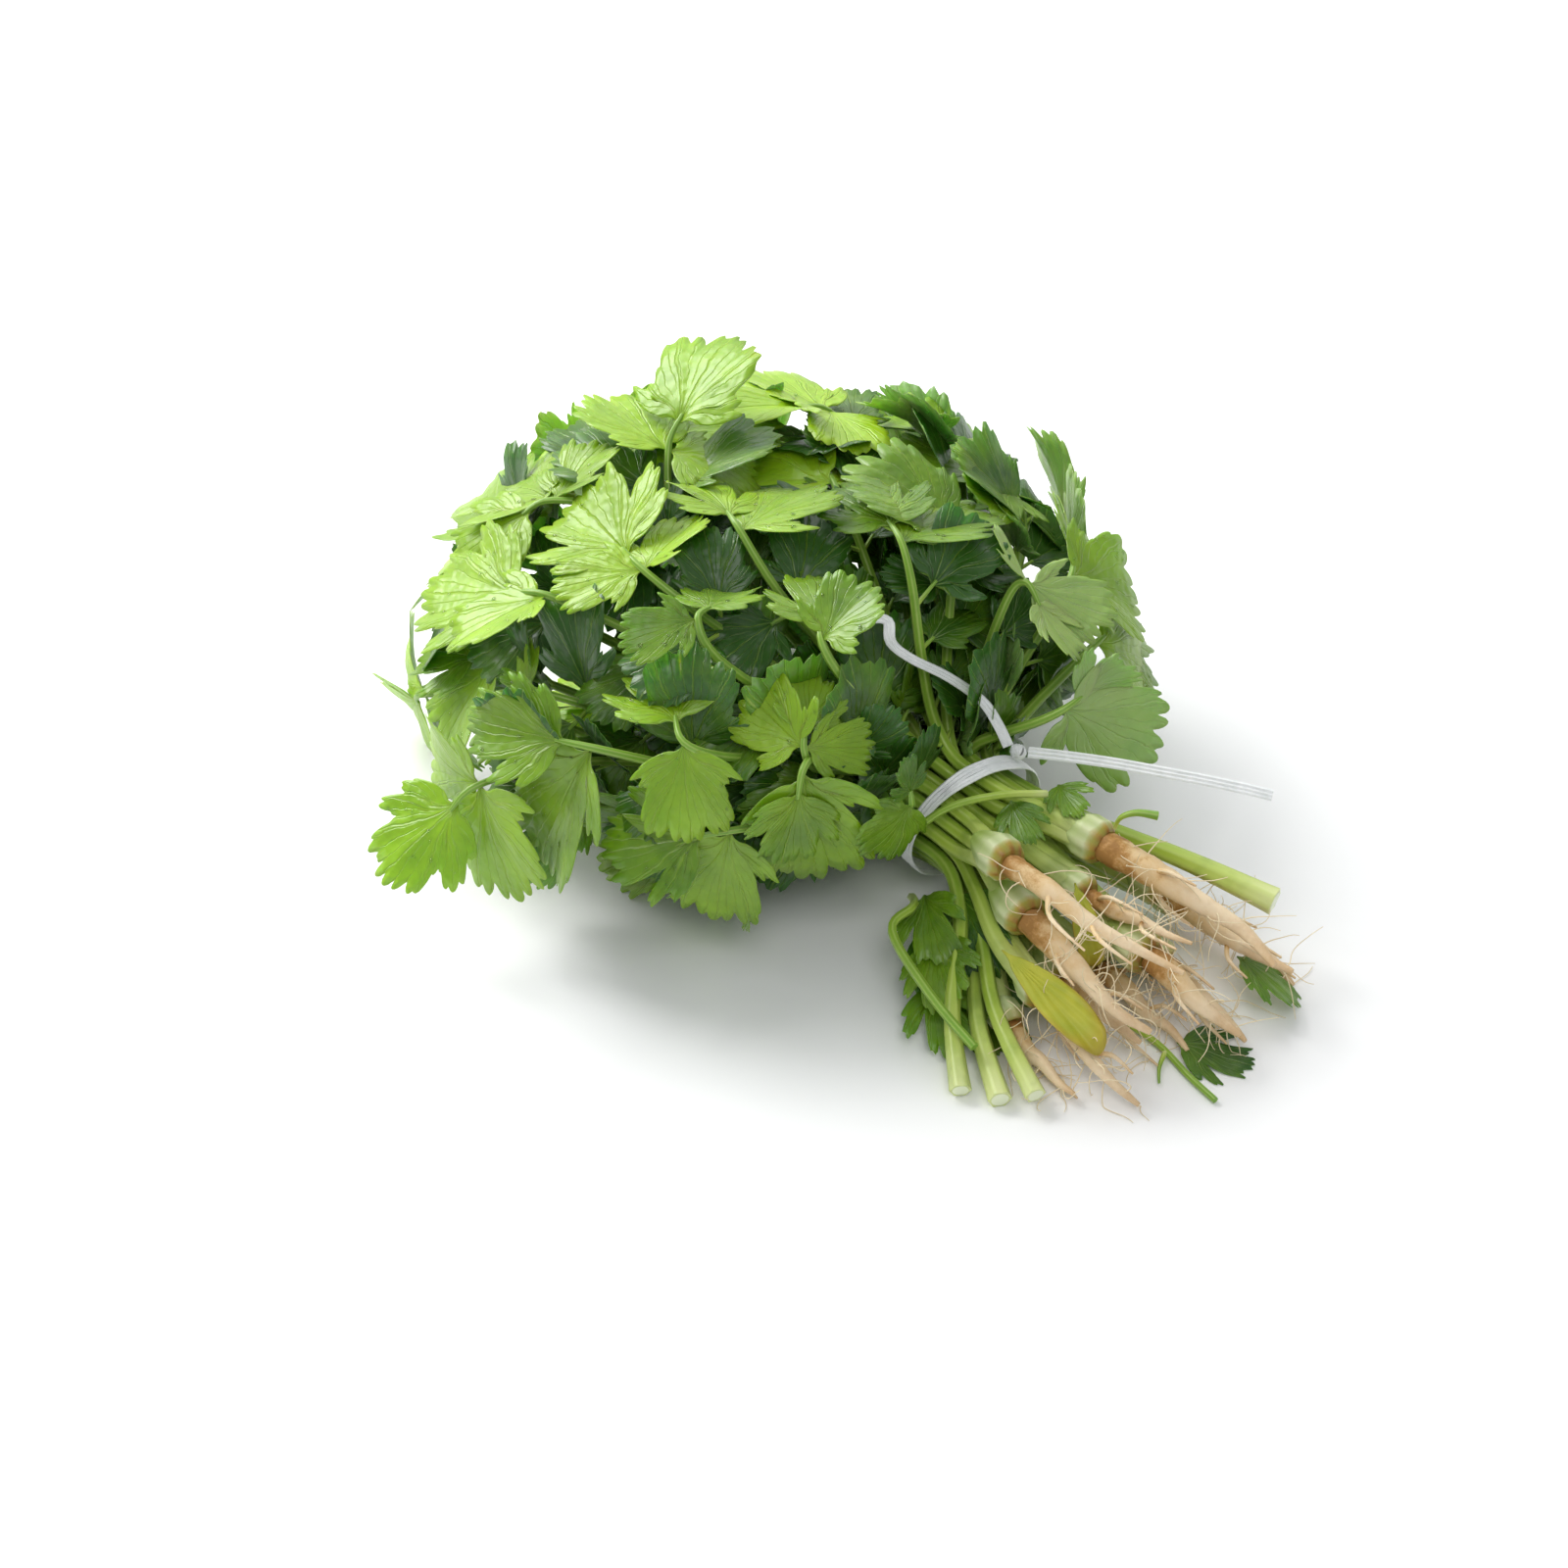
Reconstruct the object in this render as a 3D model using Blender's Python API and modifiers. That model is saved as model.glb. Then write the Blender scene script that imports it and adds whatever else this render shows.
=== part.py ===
"""Coriander bunch lying on its side: rooted plants and a few cut stalks, tied at the waist.

Blender 4.5. Each plant is laid out as it grows: a taproot, a swollen crown, leaf stalks that run
together through the tie, and a compound leaf of lobed leaflets at the end of each stalk. The
layout is worked out in millimetres and the meshes are written in metres.
Frame: +X towards the roots, +Z up, origin under the middle of the bunch on the resting surface.
"""

import math
import random

import bmesh
import bpy
from mathutils import Euler, Matrix, Vector
from mathutils.bvhtree import BVHTree

MM = 0.001

# ---------------------------------------------------------------- driving dimensions, mm
WAIST = Vector((0, 0, 27))  # middle of the tied stalks
STALK_PITCH = 4.7  # from one stalk to the next where they are tied
STALK_RADIUS = 1.9  # of a stalk at the tie
STALK_TIP_RADIUS = 1.0  # of a stalk where its leaflets meet
CROWN_RADIUS = 6.2
BLADE = 0.7  # thickness of a leaf blade
FLOOR = 0.3  # the middle of a blade that lies on the surface, whose underside is cut flat
GAP = 0.3  # between a crown and its root, and between the tie and what it holds
HEAD = Vector((-84, -8, 51))  # middle of the leafy head
HEAD_REACH = Vector((96, 106, 56))  # half its length, width and height
TIE_RADIUS = 20.8  # middle of the ribbon round the stalks
RIBBON_WIDTH = 3.6
RIBBON_THICKNESS = 0.9
KNOT = Vector((9, 10.5, 49.5))
KNOT_TURN = math.radians(28)  # round the tie, from the top towards +Y
TIE_STEPS = 20
TIE_SHIFT = 2  # the middle of the tie's turns, towards the roots
TIE_LEANS = (7.5, 4.5)  # how far each turn of the ribbon leans towards the roots at the knot
FLAT_ENOUGH = math.radians(2)  # faces that meet flatter than this become one
SEED = 0

# Each plant: the neck where crown meets taproot, the root's tip, crown size, root radius, stalks.
PLANTS = (
    ((44, 12, 37), (98, 24, 25), 1.05, 4.2, 5),
    ((38, -18, 42), (91, -4, 33), 1.00, 3.0, 5),
    ((46, -17, 27), (92, -15, 18), 1.05, 3.8, 4),
    ((63, -26, 16), (99, -25, 3), 0.85, 3.0, 3),
    ((58, -13, 12), (86, -12, 8), 0.90, 3.2, 3),
    ((57, -32, 4.4), (86, -36, 3), 0.80, 2.6, 3),
    ((71, 5, 19), (102, 9, 10), 1.05, 3.6, 5),
    ((54, 27, 20), (97, 34, 16), 0.95, 3.6, 4),
    ((65, 18, 5), (100, 14, 4), 0.90, 3.0, 3),
    ((55, 3, 4.7), (92, 1, 3), 0.85, 2.8, 3),
    ((51, 38, 8), (92, 42, 4), 0.90, 3.2, 3),
    ((49, 2, 28), (82, 8, 30), 0.80, 2.2, 3),
)

# Each loose cut stalk: its cut end and its radius there.
CUT_STALKS = (
    ((66, -58, 3), 2.3),
    ((75, -52, 3), 2.5),
    ((81, -45, 5), 2.3),
    ((80, 43, 25), 3.0),
)

# A thin stalk that lies across the tie, and one among the roots.
STRAY_STALK = ((25, 7, 46), (19, -6, 48), (11, -17, 44), (4, -24, 34), (-3, -26, 25), (-12, -25, 20))
BENT_STALK = ((3, -22, 9), (10, -27, 15), (18, -35, 22), (21.5, -45, 21), (43, -49, 15), (62, -50, 11))
THIN_STEM = ((68, -5, 2), (84, -3, 1.4), (98, -5, 1.2), (109, -6, 1.2))

# The two free ends of the ribbon.
FAR_TAIL = (
    (11, 12.5, 49.5),
    (20, 19, 50.3),
    (30, 26.5, 50.6),
    (40, 33.5, 50.6),
    (50, 41, 50.2),
    (60, 48.5, 49.4),
    (66, 53, 48.6),
)
NEAR_TAIL = (
    (6.5, 9, 50.5),
    (1, 9.5, 55),
    (-5, 8.5, 60),
    (-12, 2, 67),
    (-18, -7, 74),
    (-22, -11, 79),
    (-26, -9, 83),
    (-30, -13, 83),
    (-34, -20, 79),
)

# Fronds set by hand on the side that shows: where the leaflets meet, each leaflet's tip, and 1 or
# -1 for the upper or the under side outwards.
SHOWN_FRONDS = (
    ((-1, -62, 68), ((-1, -70, 40), (2, -60, 26)), 1),
    ((-112, -61, 100), ((-126, -91, 88), (-158, -58, 92), (-120, -38, 107)), 1),
    ((-67, -62, 100), ((-108, -58, 103), (-80, -84, 97), (-72, -40, 108)), 1),
    ((-82, -84, 93), ((-126, -100, 79), (-92, -112, 84)), 1),
    ((-41, -99, 76), ((-75, -117, 68), (-47, -106, 28)), 1),
    ((-20, -78, 78), ((-51, -62, 97), (-21, -98, 54)), 1),
    ((-69, -118, 53), ((-81, -150, 30), (-50, -128, 25), (-98, -122, 50)), 1),
    ((-35, -42, 98), ((-14, -52, 84), (-58, -36, 106)), 1),
    ((-40, -60, 95), ((-61, -42, 104), (-36, -82, 88)), 1),
    ((-60, -34, 105), ((-92, -26, 109), (-66, -2, 109)), 1),
    ((-33, 1, 101), ((-66, 11, 108), (-52, 40, 102)), 1),
    ((-22, -29, 95), ((-43, -7, 104), (-16, -10, 106)), 1),
    ((-12, 30, 87), ((8, 30, 70), (0, 50, 72), (-30, 36, 94)), -1),
    ((-14, 49, 80), ((-38, 76, 83), (-10, 78, 66)), 1),
    ((1, 50, 64), ((-18, 92, 57), (4, 80, 46)), 1),
    ((12, 20, 60), ((10, 44, 62), (19, 45, 33)), -1),
    ((-4, -56, 74), ((-16, -43, 88), (-22, -62, 84), (6, -38, 72)), 1),
    ((10, -34, 52), ((12, -34, 68), (10, -50, 40)), 1),
    ((-10, -76, 52), ((-34, -103, 42), (-10, -84, 20)), 1),
    ((-36, -84, 42), ((-58, -104, 40), (-40, -92, 14)), 1),
    ((-62, -88, 34), ((-92, -102, 26), (-60, -112, 18), (-74, -78, 14)), 1),
    ((-22, -58, 26), ((-34, -80, 10), (-8, -72, 16), (-44, -62, 12)), 1),
    ((-78, -100, 66), ((-112, -108, 56), (-86, -128, 60)), 1),
    ((-108, -92, 62), ((-144, -92, 60), (-122, -112, 40)), 1),
)

# Fronds under the head, which lie along the surface that the bunch rests on.
LOW_FRONDS = (
    ((-62, -46, 6), ((-100, -52, -4), (-70, -80, -4), (-64, -14, -4)), -1),
    ((-122, -28, 6), ((-158, -36, -4), (-128, -62, -4), (-126, 2, -4)), -1),
    ((-70, 40, 6), ((-108, 48, -4), (-76, 74, -4)), -1),
    ((-128, 40, 6), ((-162, 52, -4), (-132, 72, -4)), -1),
)

# Withered leaves caught among the roots: base, tip, width as a share of length.
YELLOW_LEAVES = (
    ((50, -31, 27), (88, -29, 21), 0.62),
    ((50, -5, 37), (65, -9, 19), 0.70),
)

# ---------------------------------------------------------------- curves and assignment


def hermite(start, leave, end, arrive, steps):
    """Points on the cubic from start to end that leaves and arrives along the given vectors."""
    points = []
    for i in range(steps + 1):
        t = i / steps
        a = 2 * t**3 - 3 * t**2 + 1
        b = t**3 - 2 * t**2 + t
        c = -2 * t**3 + 3 * t**2
        d = t**3 - t**2
        points.append(start * a + leave * b + end * c + arrive * d)
    return points


def pair_up(wanted, places):
    """Gives each wanted point a place of its own, then swaps while the total distance falls."""
    free = list(range(len(places)))
    taken = []
    for point in wanted:
        nearest = min(free, key=lambda k: (places[k] - point).length_squared)
        free.remove(nearest)
        taken.append(nearest)

    def cost(i, k):
        return (places[k] - wanted[i]).length_squared

    improved = True
    while improved:
        improved = False
        for i in range(len(wanted)):
            for j in range(i):
                now = cost(i, taken[i]) + cost(j, taken[j])
                if cost(i, taken[j]) + cost(j, taken[i]) < now - 1e-6:
                    taken[i], taken[j] = taken[j], taken[i]
                    improved = True
    return taken


def tied_slots(count):
    """The places of the stalks across the tie, packed like a honeycomb, nearest the middle first."""
    slots = []
    for row in range(-5, 6):
        for column in range(-5, 6):
            across = (column + 0.5 * (row % 2)) * STALK_PITCH
            slots.append(Vector((0, across, row * STALK_PITCH * math.sqrt(0.75))))
    return sorted(slots, key=lambda slot: (round(slot.length, 3), slot.y, slot.z))[:count]


def on_head(longitude, latitude, reach):
    """A point on the head's envelope, and the envelope's outward direction there."""
    lon = math.radians(longitude)
    lat = math.radians(latitude)
    way = Vector((-math.cos(lat) * math.cos(lon), -math.cos(lat) * math.sin(lon), math.sin(lat)))
    point = HEAD + Vector(w * r * reach for w, r in zip(way, HEAD_REACH))
    outward = Vector(w / r for w, r in zip(way, HEAD_REACH)).normalized()
    return point, outward


def smooth_route(route, steps):
    """Points on a smooth curve through the route's own points, so many to a span."""
    spots = [Vector(spot) for spot in route]
    points = [spots[0]]
    for i in range(len(spots) - 1):
        before = spots[max(i - 1, 0)]
        after = spots[min(i + 2, len(spots) - 1)]
        leave = (spots[i + 1] - before) / 2
        arrive = (after - spots[i]) / 2
        points += hermite(spots[i], leave, spots[i + 1], arrive, steps)[1:]
    return points


def lift_off_floor(points, radii):
    for point, radius in zip(points, radii):
        point.z = max(point.z, radius + 0.1)


# ---------------------------------------------------------------- leaflets


def leaflet_edge(teeth, opening):
    """The outline of a leaflet of length 1 about its base, as (angle, radius): tooth tips and the
    notches between them, with a deep notch on each side of the middle lobe."""
    edge = []
    for k in range(2 * teeth - 1):
        angle = opening * ((k + 1) / teeth - 1)
        radius = math.cos(angle * math.radians(88) / opening) ** 0.38
        if k % 2:
            lobe_notch = (k + 1) // 2 in (teeth // 3, teeth - teeth // 3)
            radius *= 0.64 if lobe_notch else 0.90
        edge.append((angle, radius))
    return edge


def leaflet_point(leaf, angle, radius):
    """A point of a leaflet's arched, folded and waved blade, held above the resting surface."""
    x = radius * math.sin(angle) * leaf["width"]
    y = radius * math.cos(angle)
    lift = leaf["fold"] * abs(x) - leaf["arch"] * y * y + leaf["cup"] * x * x
    lift += leaf["wave"] * radius**2 * math.sin(3 * angle + leaf["phase"])
    spot = leaf["base"] + leaf["length"] * (leaf["side"] * x + leaf["tip"] * y + leaf["face"] * lift)
    spot.z = max(spot.z, FLOOR)
    return spot


def leaflet_skin(leaf):
    """Corners and triangles of a leaflet: a fan about a point on its midrib."""
    rim = [(0.0, 0.0)] + leaflet_edge(leaf["teeth"], leaf["opening"])
    corners = [leaflet_point(leaf, 0.0, 0.42)] + [leaflet_point(leaf, a, r) for a, r in rim]
    count = len(rim)
    return corners, [(0, 1 + k, 1 + (k + 1) % count) for k in range(count)]


def new_leaflet(base, tip, face, length, draw):
    """The measures of one leaflet, with its own seeded arch, fold and waves. One that would point
    through the resting surface is turned to lie along it."""
    tip = tip.normalized()
    lowest = (FLOOR - base.z) / length
    if tip.z < lowest:
        tip.z = lowest
        tip.normalize()
    if base.z < 0.5 * length:
        face = face + Vector((0, 0, 1.5 if face.z >= 0 else -1.5))
    face = (face - tip * face.dot(tip)).normalized()
    return {
        "base": base,
        "tip": tip,
        "face": face,
        "side": tip.cross(face),
        "length": length,
        "teeth": 7,
        "width": draw.uniform(0.86, 1.08),
        "opening": math.radians(draw.uniform(62, 88)),
        "arch": draw.uniform(0.05, 0.30),
        "fold": draw.uniform(-0.05, 0.32),
        "cup": draw.uniform(-0.20, 0.10),
        "wave": draw.uniform(0.03, 0.09),
        "phase": draw.uniform(0, 2 * math.pi),
    }


# ---------------------------------------------------------------- fronds, stalks and roots


def outward_at(point):
    """The head's outward direction at a point near its envelope."""
    return Vector((p - c) / r**2 for p, c, r in zip(point, HEAD, HEAD_REACH)).normalized()


def new_frond(row, draw, nudge):
    """A compound leaf: where its leaflets meet, and its leaflets. nudge says how far from its own
    place it may be moved to stay clear of the others."""
    node, tips, side_out = row
    shift = Vector(draw.uniform(-1, 1) for _ in range(3)) * 12 * nudge
    turn = Euler(Vector(draw.uniform(-1, 1) for _ in range(3)) * 0.5 * nudge)
    node = Vector(node)
    outward = outward_at(node)
    shown = row in SHOWN_FRONDS
    leaves = []
    ways = [Vector(tip) - node for tip in tips]
    node = node + shift
    node.z = max(node.z, 3.5)
    for k, way in enumerate(ways):
        way.rotate(turn)
        length = way.length * (1 - 0.1 * nudge)
        face = outward * side_out + Vector((0, 0, 0.25))
        face += Vector(draw.uniform(-0.4, 0.4) for _ in range(3))
        base = node + way.normalized() * (0.4 if k else 0.2 * length)
        base.z = max(base.z, 2)
        leaves.append(new_leaflet(base, way, face, length * (1 if k else 0.8), draw))
        leaves[-1]["teeth"] = 5 if k or not shown else 7
    return {"node": node, "tip": ways[0].normalized(), "leaves": leaves, "shown": shown}


def lower_stalk(foot, way, slot, foot_radius, draw, nudge):
    """Points and radii of a stalk from its foot in the crown to its place in the tie."""
    through = WAIST + slot + Vector((12, 0, 0))
    gap = (through - foot).length
    stray = Vector((0, draw.uniform(-1, 1), draw.uniform(-1, 1))) * gap * nudge
    leave = way * gap * draw.uniform(0.6, 1.2) + stray
    arrive = Vector((-gap * draw.uniform(0.5, 1.1), 0, 0))
    points = hermite(foot, leave, through, arrive, 3)
    radii = [foot_radius, foot_radius * 0.8, 2.05, STALK_RADIUS]
    lift_off_floor(points, radii)
    return points, radii


def upper_stalk(frond, slot, draw, nudge):
    """Points and radii of a stalk from its place in the tie to the base of its leaflets."""
    start = WAIST + slot + Vector((-6, 0, 0))
    reach = (frond["node"] - start).length
    leave = Vector((-1, 0.015 * slot.y, 0.015 * slot.z)) * reach * 0.8
    leave += Vector(draw.uniform(-1, 1) for _ in range(3)) * reach * 0.5 * nudge
    leaf = frond["leaves"][0]
    arrive = (frond["tip"] + leaf["face"] * draw.uniform(-0.3, 0.5)).normalized() * reach * 0.6
    points = hermite(start, leave, frond["node"], arrive, 4)
    steps = len(points) - 1
    radii = []
    for i in range(steps + 1):
        radii.append(STALK_RADIUS + (STALK_TIP_RADIUS - STALK_RADIUS) * i / steps)
    points.append(leaflet_point(leaf, 0.0, 0.1))
    radii.append(0.6)
    lift_off_floor(points, radii)
    return points, radii


def bare_end(slot, draw, nudge):
    """Points and radii of a stalk without leaflets, from its place in the tie."""
    start = WAIST + slot + Vector((-6, 0, 0))
    end = start + Vector((-32, slot.y * 0.5, slot.z * 0.5)) * (1 - 0.8 * nudge)
    end += Vector(draw.uniform(-1, 1) for _ in range(3)) * 4 * nudge
    return hermite(start, end - start, end, end - start, 2), [STALK_RADIUS, 1.8, 1.7]


def root_path(neck, tip, way, radius, draw):
    """Points and radii of a taproot that tapers and wanders a little."""
    gap = (tip - neck).length
    leave = -way * gap * 0.8
    arrive = Vector((1, draw.uniform(-0.5, 0.5), draw.uniform(-0.5, 0.1))) * gap * 0.8
    start = neck - way * GAP
    collar = start - way * 2.5
    points = [start] + hermite(collar, leave, tip, arrive, 4)
    for point in points[2:]:
        point += Vector((0, draw.uniform(-1, 1), draw.uniform(-1, 1))) * 0.7
    shape = (1.0, 1.08, 0.95, 0.72, 0.46, 0.22)
    radii = [radius * share for share in shape]
    lift_off_floor(points[2:], radii[2:])
    return points, radii


def rootlet_path(points, radii, draw):
    """Points and radii of a side root that leaves a taproot and trails along it."""
    i = draw.choice((1, 2, 3))
    start = points[i]
    along = (points[i + 1] - points[i - 1]).normalized()
    across = along.cross(Vector(draw.uniform(-1, 1) for _ in range(3))).normalized()
    length = draw.uniform(14, 26)
    end = start + along * length * 0.8 + across * length * 0.45
    bent = hermite(start, across * length, end, along * length, 2)
    taper = [radii[i] * 0.4, 0.8, 0.5]
    lift_off_floor(bent, taper)
    return bent, taper


def crown_path(neck, way, size):
    """Points and radii of a swollen crown, from its flat neck towards the stalks."""
    stations = ((0, 4.4), (2.5, CROWN_RADIUS), (6.5, CROWN_RADIUS), (11, 4.6), (15, 2.6))
    points = [neck + way * along * size for along, _ in stations]
    radii = [radius * size for _, radius in stations]
    for point in points[1:]:
        point.z = max(point.z, CROWN_RADIUS * size - 0.4)
    return points, radii


def yellow_leaves():
    """The measures of the withered leaves."""
    draw = random.Random(SEED)
    leaves = []
    for base, tip, width in YELLOW_LEAVES:
        way = Vector(tip) - Vector(base)
        leaf = new_leaflet(Vector(base), way, Vector((0.3, -0.3, 1)), way.length, draw)
        leaf["opening"] = math.radians(34)
        leaf["width"] = width
        leaf["arch"] = 0.12
        leaf["teeth"] = 5
        leaves.append(leaf)
    return leaves


# ---------------------------------------------------------------- keeping clear of one another


def tube_skin(points, radii, extra=0.2, sides=5):
    """Corners and triangles of an open tube, a little fat, to test that pieces stay clear."""
    corners = []
    for i, (point, radius) in enumerate(zip(points, radii)):
        ahead = points[min(i + 1, len(points) - 1)] - points[max(i - 1, 0)]
        a = ahead.cross(Vector((0.31, 0.2, 0.93))).normalized()
        b = ahead.cross(a).normalized()
        for k in range(sides):
            turn = 2 * math.pi * k / sides
            out = a * math.cos(turn) + b * math.sin(turn)
            corners.append(point + out * (radius + extra) / math.sqrt(math.cos(math.pi / sides)))
    faces = []
    for i in range(len(points) - 1):
        for k in range(sides):
            p = i * sides + k
            q = i * sides + (k + 1) % sides
            faces += [(p, q, q + sides), (p, q + sides, p + sides)]
    return corners, faces


def band_skin(lean):
    """The inner face of one turn of the ribbon as triangles."""
    corners = []
    sides = 24
    for k in range(sides):
        turn = 2 * math.pi * k / sides
        round_it = Vector((0, math.sin(turn), math.cos(turn))) * (TIE_RADIUS - 0.6)
        middle = WAIST + round_it + Vector((lean * math.cos(turn - KNOT_TURN) + TIE_SHIFT, 0, 0))
        corners += [middle + Vector((across, 0, 0)) for across in (-2.2, 2.2)]
    faces = []
    for k in range(sides):
        p = 2 * k
        q = 2 * ((k + 1) % sides)
        faces += [(p, q, q + 1), (p, q + 1, p + 1)]
    return corners, faces


def leaf_skin(leaf):
    """Both faces of a leaflet as triangles, a little further apart than they are."""
    corners = []
    faces = []
    spots, fan = leaflet_skin(leaf)
    for offset in (-0.75, 0.75):
        first = len(corners)
        corners += [spot + leaf["face"] * offset for spot in spots]
        faces += [tuple(first + i for i in face) for face in fan]
    return corners, faces


def frond_skin(frond, points, radii):
    """The whole of a frond beyond the tie as one set of triangles, a little fat."""
    corners, faces = tube_skin(points, radii)
    for leaf in frond["leaves"]:
        spots, fan = leaf_skin(leaf)
        faces += [tuple(len(corners) + i for i in face) for face in fan]
        corners += spots
    return corners, faces


class Clearance:
    """What is placed so far, and by which plant."""

    def __init__(self):
        self.placed = []

    def tree(self, skin):
        return BVHTree.FromPolygons([tuple(corner) for corner in skin[0]], skin[1])

    def is_free(self, owner, skin):
        tree = self.tree(skin)
        return not any(other != owner and tree.overlap(old) for other, old in self.placed)

    def add(self, owner, skin):
        self.placed.append((owner, self.tree(skin)))


# ---------------------------------------------------------------- the layout


def all_rows(count, draw):
    """The hand-set fronds and, on the rest of the head, fronds as far apart as they will go."""
    rows = list(SHOWN_FRONDS + LOW_FRONDS)
    nodes = [Vector(row[0]) for row in rows]
    while len(rows) < count:
        best = None
        for _ in range(60):
            longitude = draw.uniform(-150, 60)
            latitude = math.degrees(math.asin(draw.uniform(-0.25, 0.97)))
            spot, outward = on_head(longitude, latitude, draw.uniform(0.78, 1.0))
            room = min((spot - node).length for node in nodes)
            if best is None or room > best[0]:
                best = (room, longitude, outward, spot)
        _, longitude, outward, spot = best
        up = (Vector((0, 0, 1)) - outward * outward.z).normalized()
        right = up.cross(outward)
        heading = math.radians((90 if longitude < 0 else 270) + draw.uniform(-50, 50))
        tips = []
        for swing, length in ((0, 44), (1.25, 33), (-1.25, 33)):
            way = up * math.cos(heading + swing) + right * math.sin(heading + swing)
            way += outward * draw.uniform(-0.3, 0.3)
            tips.append(spot + way.normalized() * length * draw.uniform(0.85, 1.1))
        rows.append((spot, tips, 1))
        nodes.append(spot)
    return rows


def new_owners():
    """The plants and the cut stalks, each with its own share of the places in the tie."""
    owners = []
    for neck, tip, size, radius, count in PLANTS:
        owners.append({"neck": Vector(neck), "tip": Vector(tip), "size": size, "root": radius})
        owners[-1]["count"] = count
    for end, radius in CUT_STALKS:
        owners.append({"neck": Vector(end), "tip": None, "size": 0, "root": radius, "count": 1})
    total = sum(owner["count"] for owner in owners)
    slots = tied_slots(total)
    middle = sum((o["neck"] * o["count"] for o in owners), Vector()) / total
    homes = []
    for index, owner in enumerate(owners):
        home = Vector((0, (owner["neck"].y - middle.y) / 2.6, (owner["neck"].z - middle.z) / 1.1))
        homes += [(index, home)] * owner["count"]
    chosen = pair_up([home for _, home in homes], slots)
    for owner in owners:
        owner["slots"] = []
    for (index, _), slot in zip(homes, chosen):
        owners[index]["slots"].append(slots[slot])
    for owner in owners:
        middle = sum(owner["slots"], Vector()) / owner["count"]
        owner["middle"] = middle
        to_tie = (WAIST + Vector((12, 0, 0)) + middle - owner["neck"]).normalized()
        owner["way"] = (to_tie + Vector((-1.2, 0, 0))).normalized()
    return owners, slots


def lay_out():
    """Every plant with its crown, root and fronds, all clear of the other plants'."""
    draw = random.Random(SEED)
    owners, slots = new_owners()
    clear = Clearance()
    for route in (STRAY_STALK, BENT_STALK, THIN_STEM, FAR_TAIL, NEAR_TAIL):
        points = [Vector(point) for point in route]
        clear.add("loose", tube_skin(points, [1.6] * len(points)))
    for leaf in yellow_leaves():
        clear.add("loose", leaf_skin(leaf))
    for lean in TIE_LEANS:
        clear.add("loose", band_skin(lean))
    for index, owner in enumerate(owners):
        if owner["tip"] is None:
            continue
        owner["crown"] = crown_path(owner["neck"], owner["way"], owner["size"])
        base_way = (owner["crown"][0][1] - owner["crown"][0][0]).normalized()
        for attempt in range(200):
            tip = owner["tip"] + Vector(draw.uniform(-1, 1) for _ in range(3)) * attempt * 0.06
            path = root_path(owner["neck"], tip, base_way, owner["root"], draw)
            if clear.is_free(index, tube_skin(*path)):
                break
        owner["taproot"] = path
        owner["rootlets"] = []
        clear.add(index, tube_skin(*owner["crown"], sides=8))
        clear.add(index, tube_skin(*path))
    for index, owner in sorted(enumerate(owners), key=lambda pair: -pair[0]):
        owner["lower"] = []
        for slot in owner["slots"]:
            spread = (slot - owner["middle"]) * 0.45
            spread.x = 0
            foot = owner["neck"] + owner["way"] * 6 * owner["size"] + spread * owner["size"]
            foot_radius = 2.9 if owner["tip"] else owner["root"]
            best = None
            for attempt in range(600):
                nudge = attempt / 900
                path = lower_stalk(foot, owner["way"], slot, foot_radius, draw, nudge)
                if clear.is_free(index, tube_skin(*path)):
                    best = path
                    break
            if best is None:
                continue
            owner["lower"].append((slot, best))
            clear.add(index, tube_skin(*best))
    rows = all_rows(len(slots), draw)
    wanted = []
    for row in rows:
        way = (Vector(row[0]) - WAIST).normalized()
        swing = math.degrees(way.angle(Vector((-1, 0, 0))))
        flat = Vector((0, way.y, way.z)).normalized()
        wanted.append(flat * STALK_PITCH * 3.6 * min(1.0, swing / 100))
    jobs = []
    for row, chosen in zip(rows, pair_up(wanted, slots)):
        for index, owner in enumerate(owners):
            for place, lower in owner["lower"]:
                if place == slots[chosen]:
                    jobs.append((row, place, index, lower))
    jobs.sort(key=lambda job: owners[job[2]]["tip"] is not None)
    bare = []
    for row, slot, index, lower in jobs:
        best = None
        for attempt in range(600):
            nudge = 1.5 * attempt / 600
            frond = new_frond(row, draw, nudge)
            points, radii = upper_stalk(frond, slot, draw, nudge)
            if clear.is_free(index, frond_skin(frond, points, radii)):
                best = (frond, points, radii)
                break
        if best is None:
            bare.append((index, slot, lower))
            continue
        clear.add(index, frond_skin(*best))
        frond["stalk"] = (lower[0] + points, lower[1] + radii)
        owners[index].setdefault("fronds", []).append(frond)
    for index, slot, lower in bare:
        for attempt in range(200):
            points, radii = bare_end(slot, draw, attempt / 200)
            if clear.is_free(index, tube_skin(points, radii)):
                clear.add(index, tube_skin(points, radii))
                frond = {"leaves": [], "shown": False, "stalk": (lower[0] + points, lower[1] + radii)}
                owners[index].setdefault("fronds", []).append(frond)
                break
    for index, owner in enumerate(owners):
        if owner["tip"] is None:
            continue
        for attempt in range(60):
            path = rootlet_path(*owner["taproot"], draw)
            if clear.is_free(index, tube_skin(*path)):
                owner["rootlets"].append(path)
                clear.add(index, tube_skin(*path))
            if len(owner["rootlets"]) == 2:
                break
    return owners


# ---------------------------------------------------------------- meshes


def new_material(name, color, roughness):
    material = bpy.data.materials.new(name)
    material.use_nodes = True
    shader = material.node_tree.nodes["Principled BSDF"]
    shader.inputs["Base Color"].default_value = (*color, 1)
    shader.inputs["Roughness"].default_value = roughness
    return material


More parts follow.
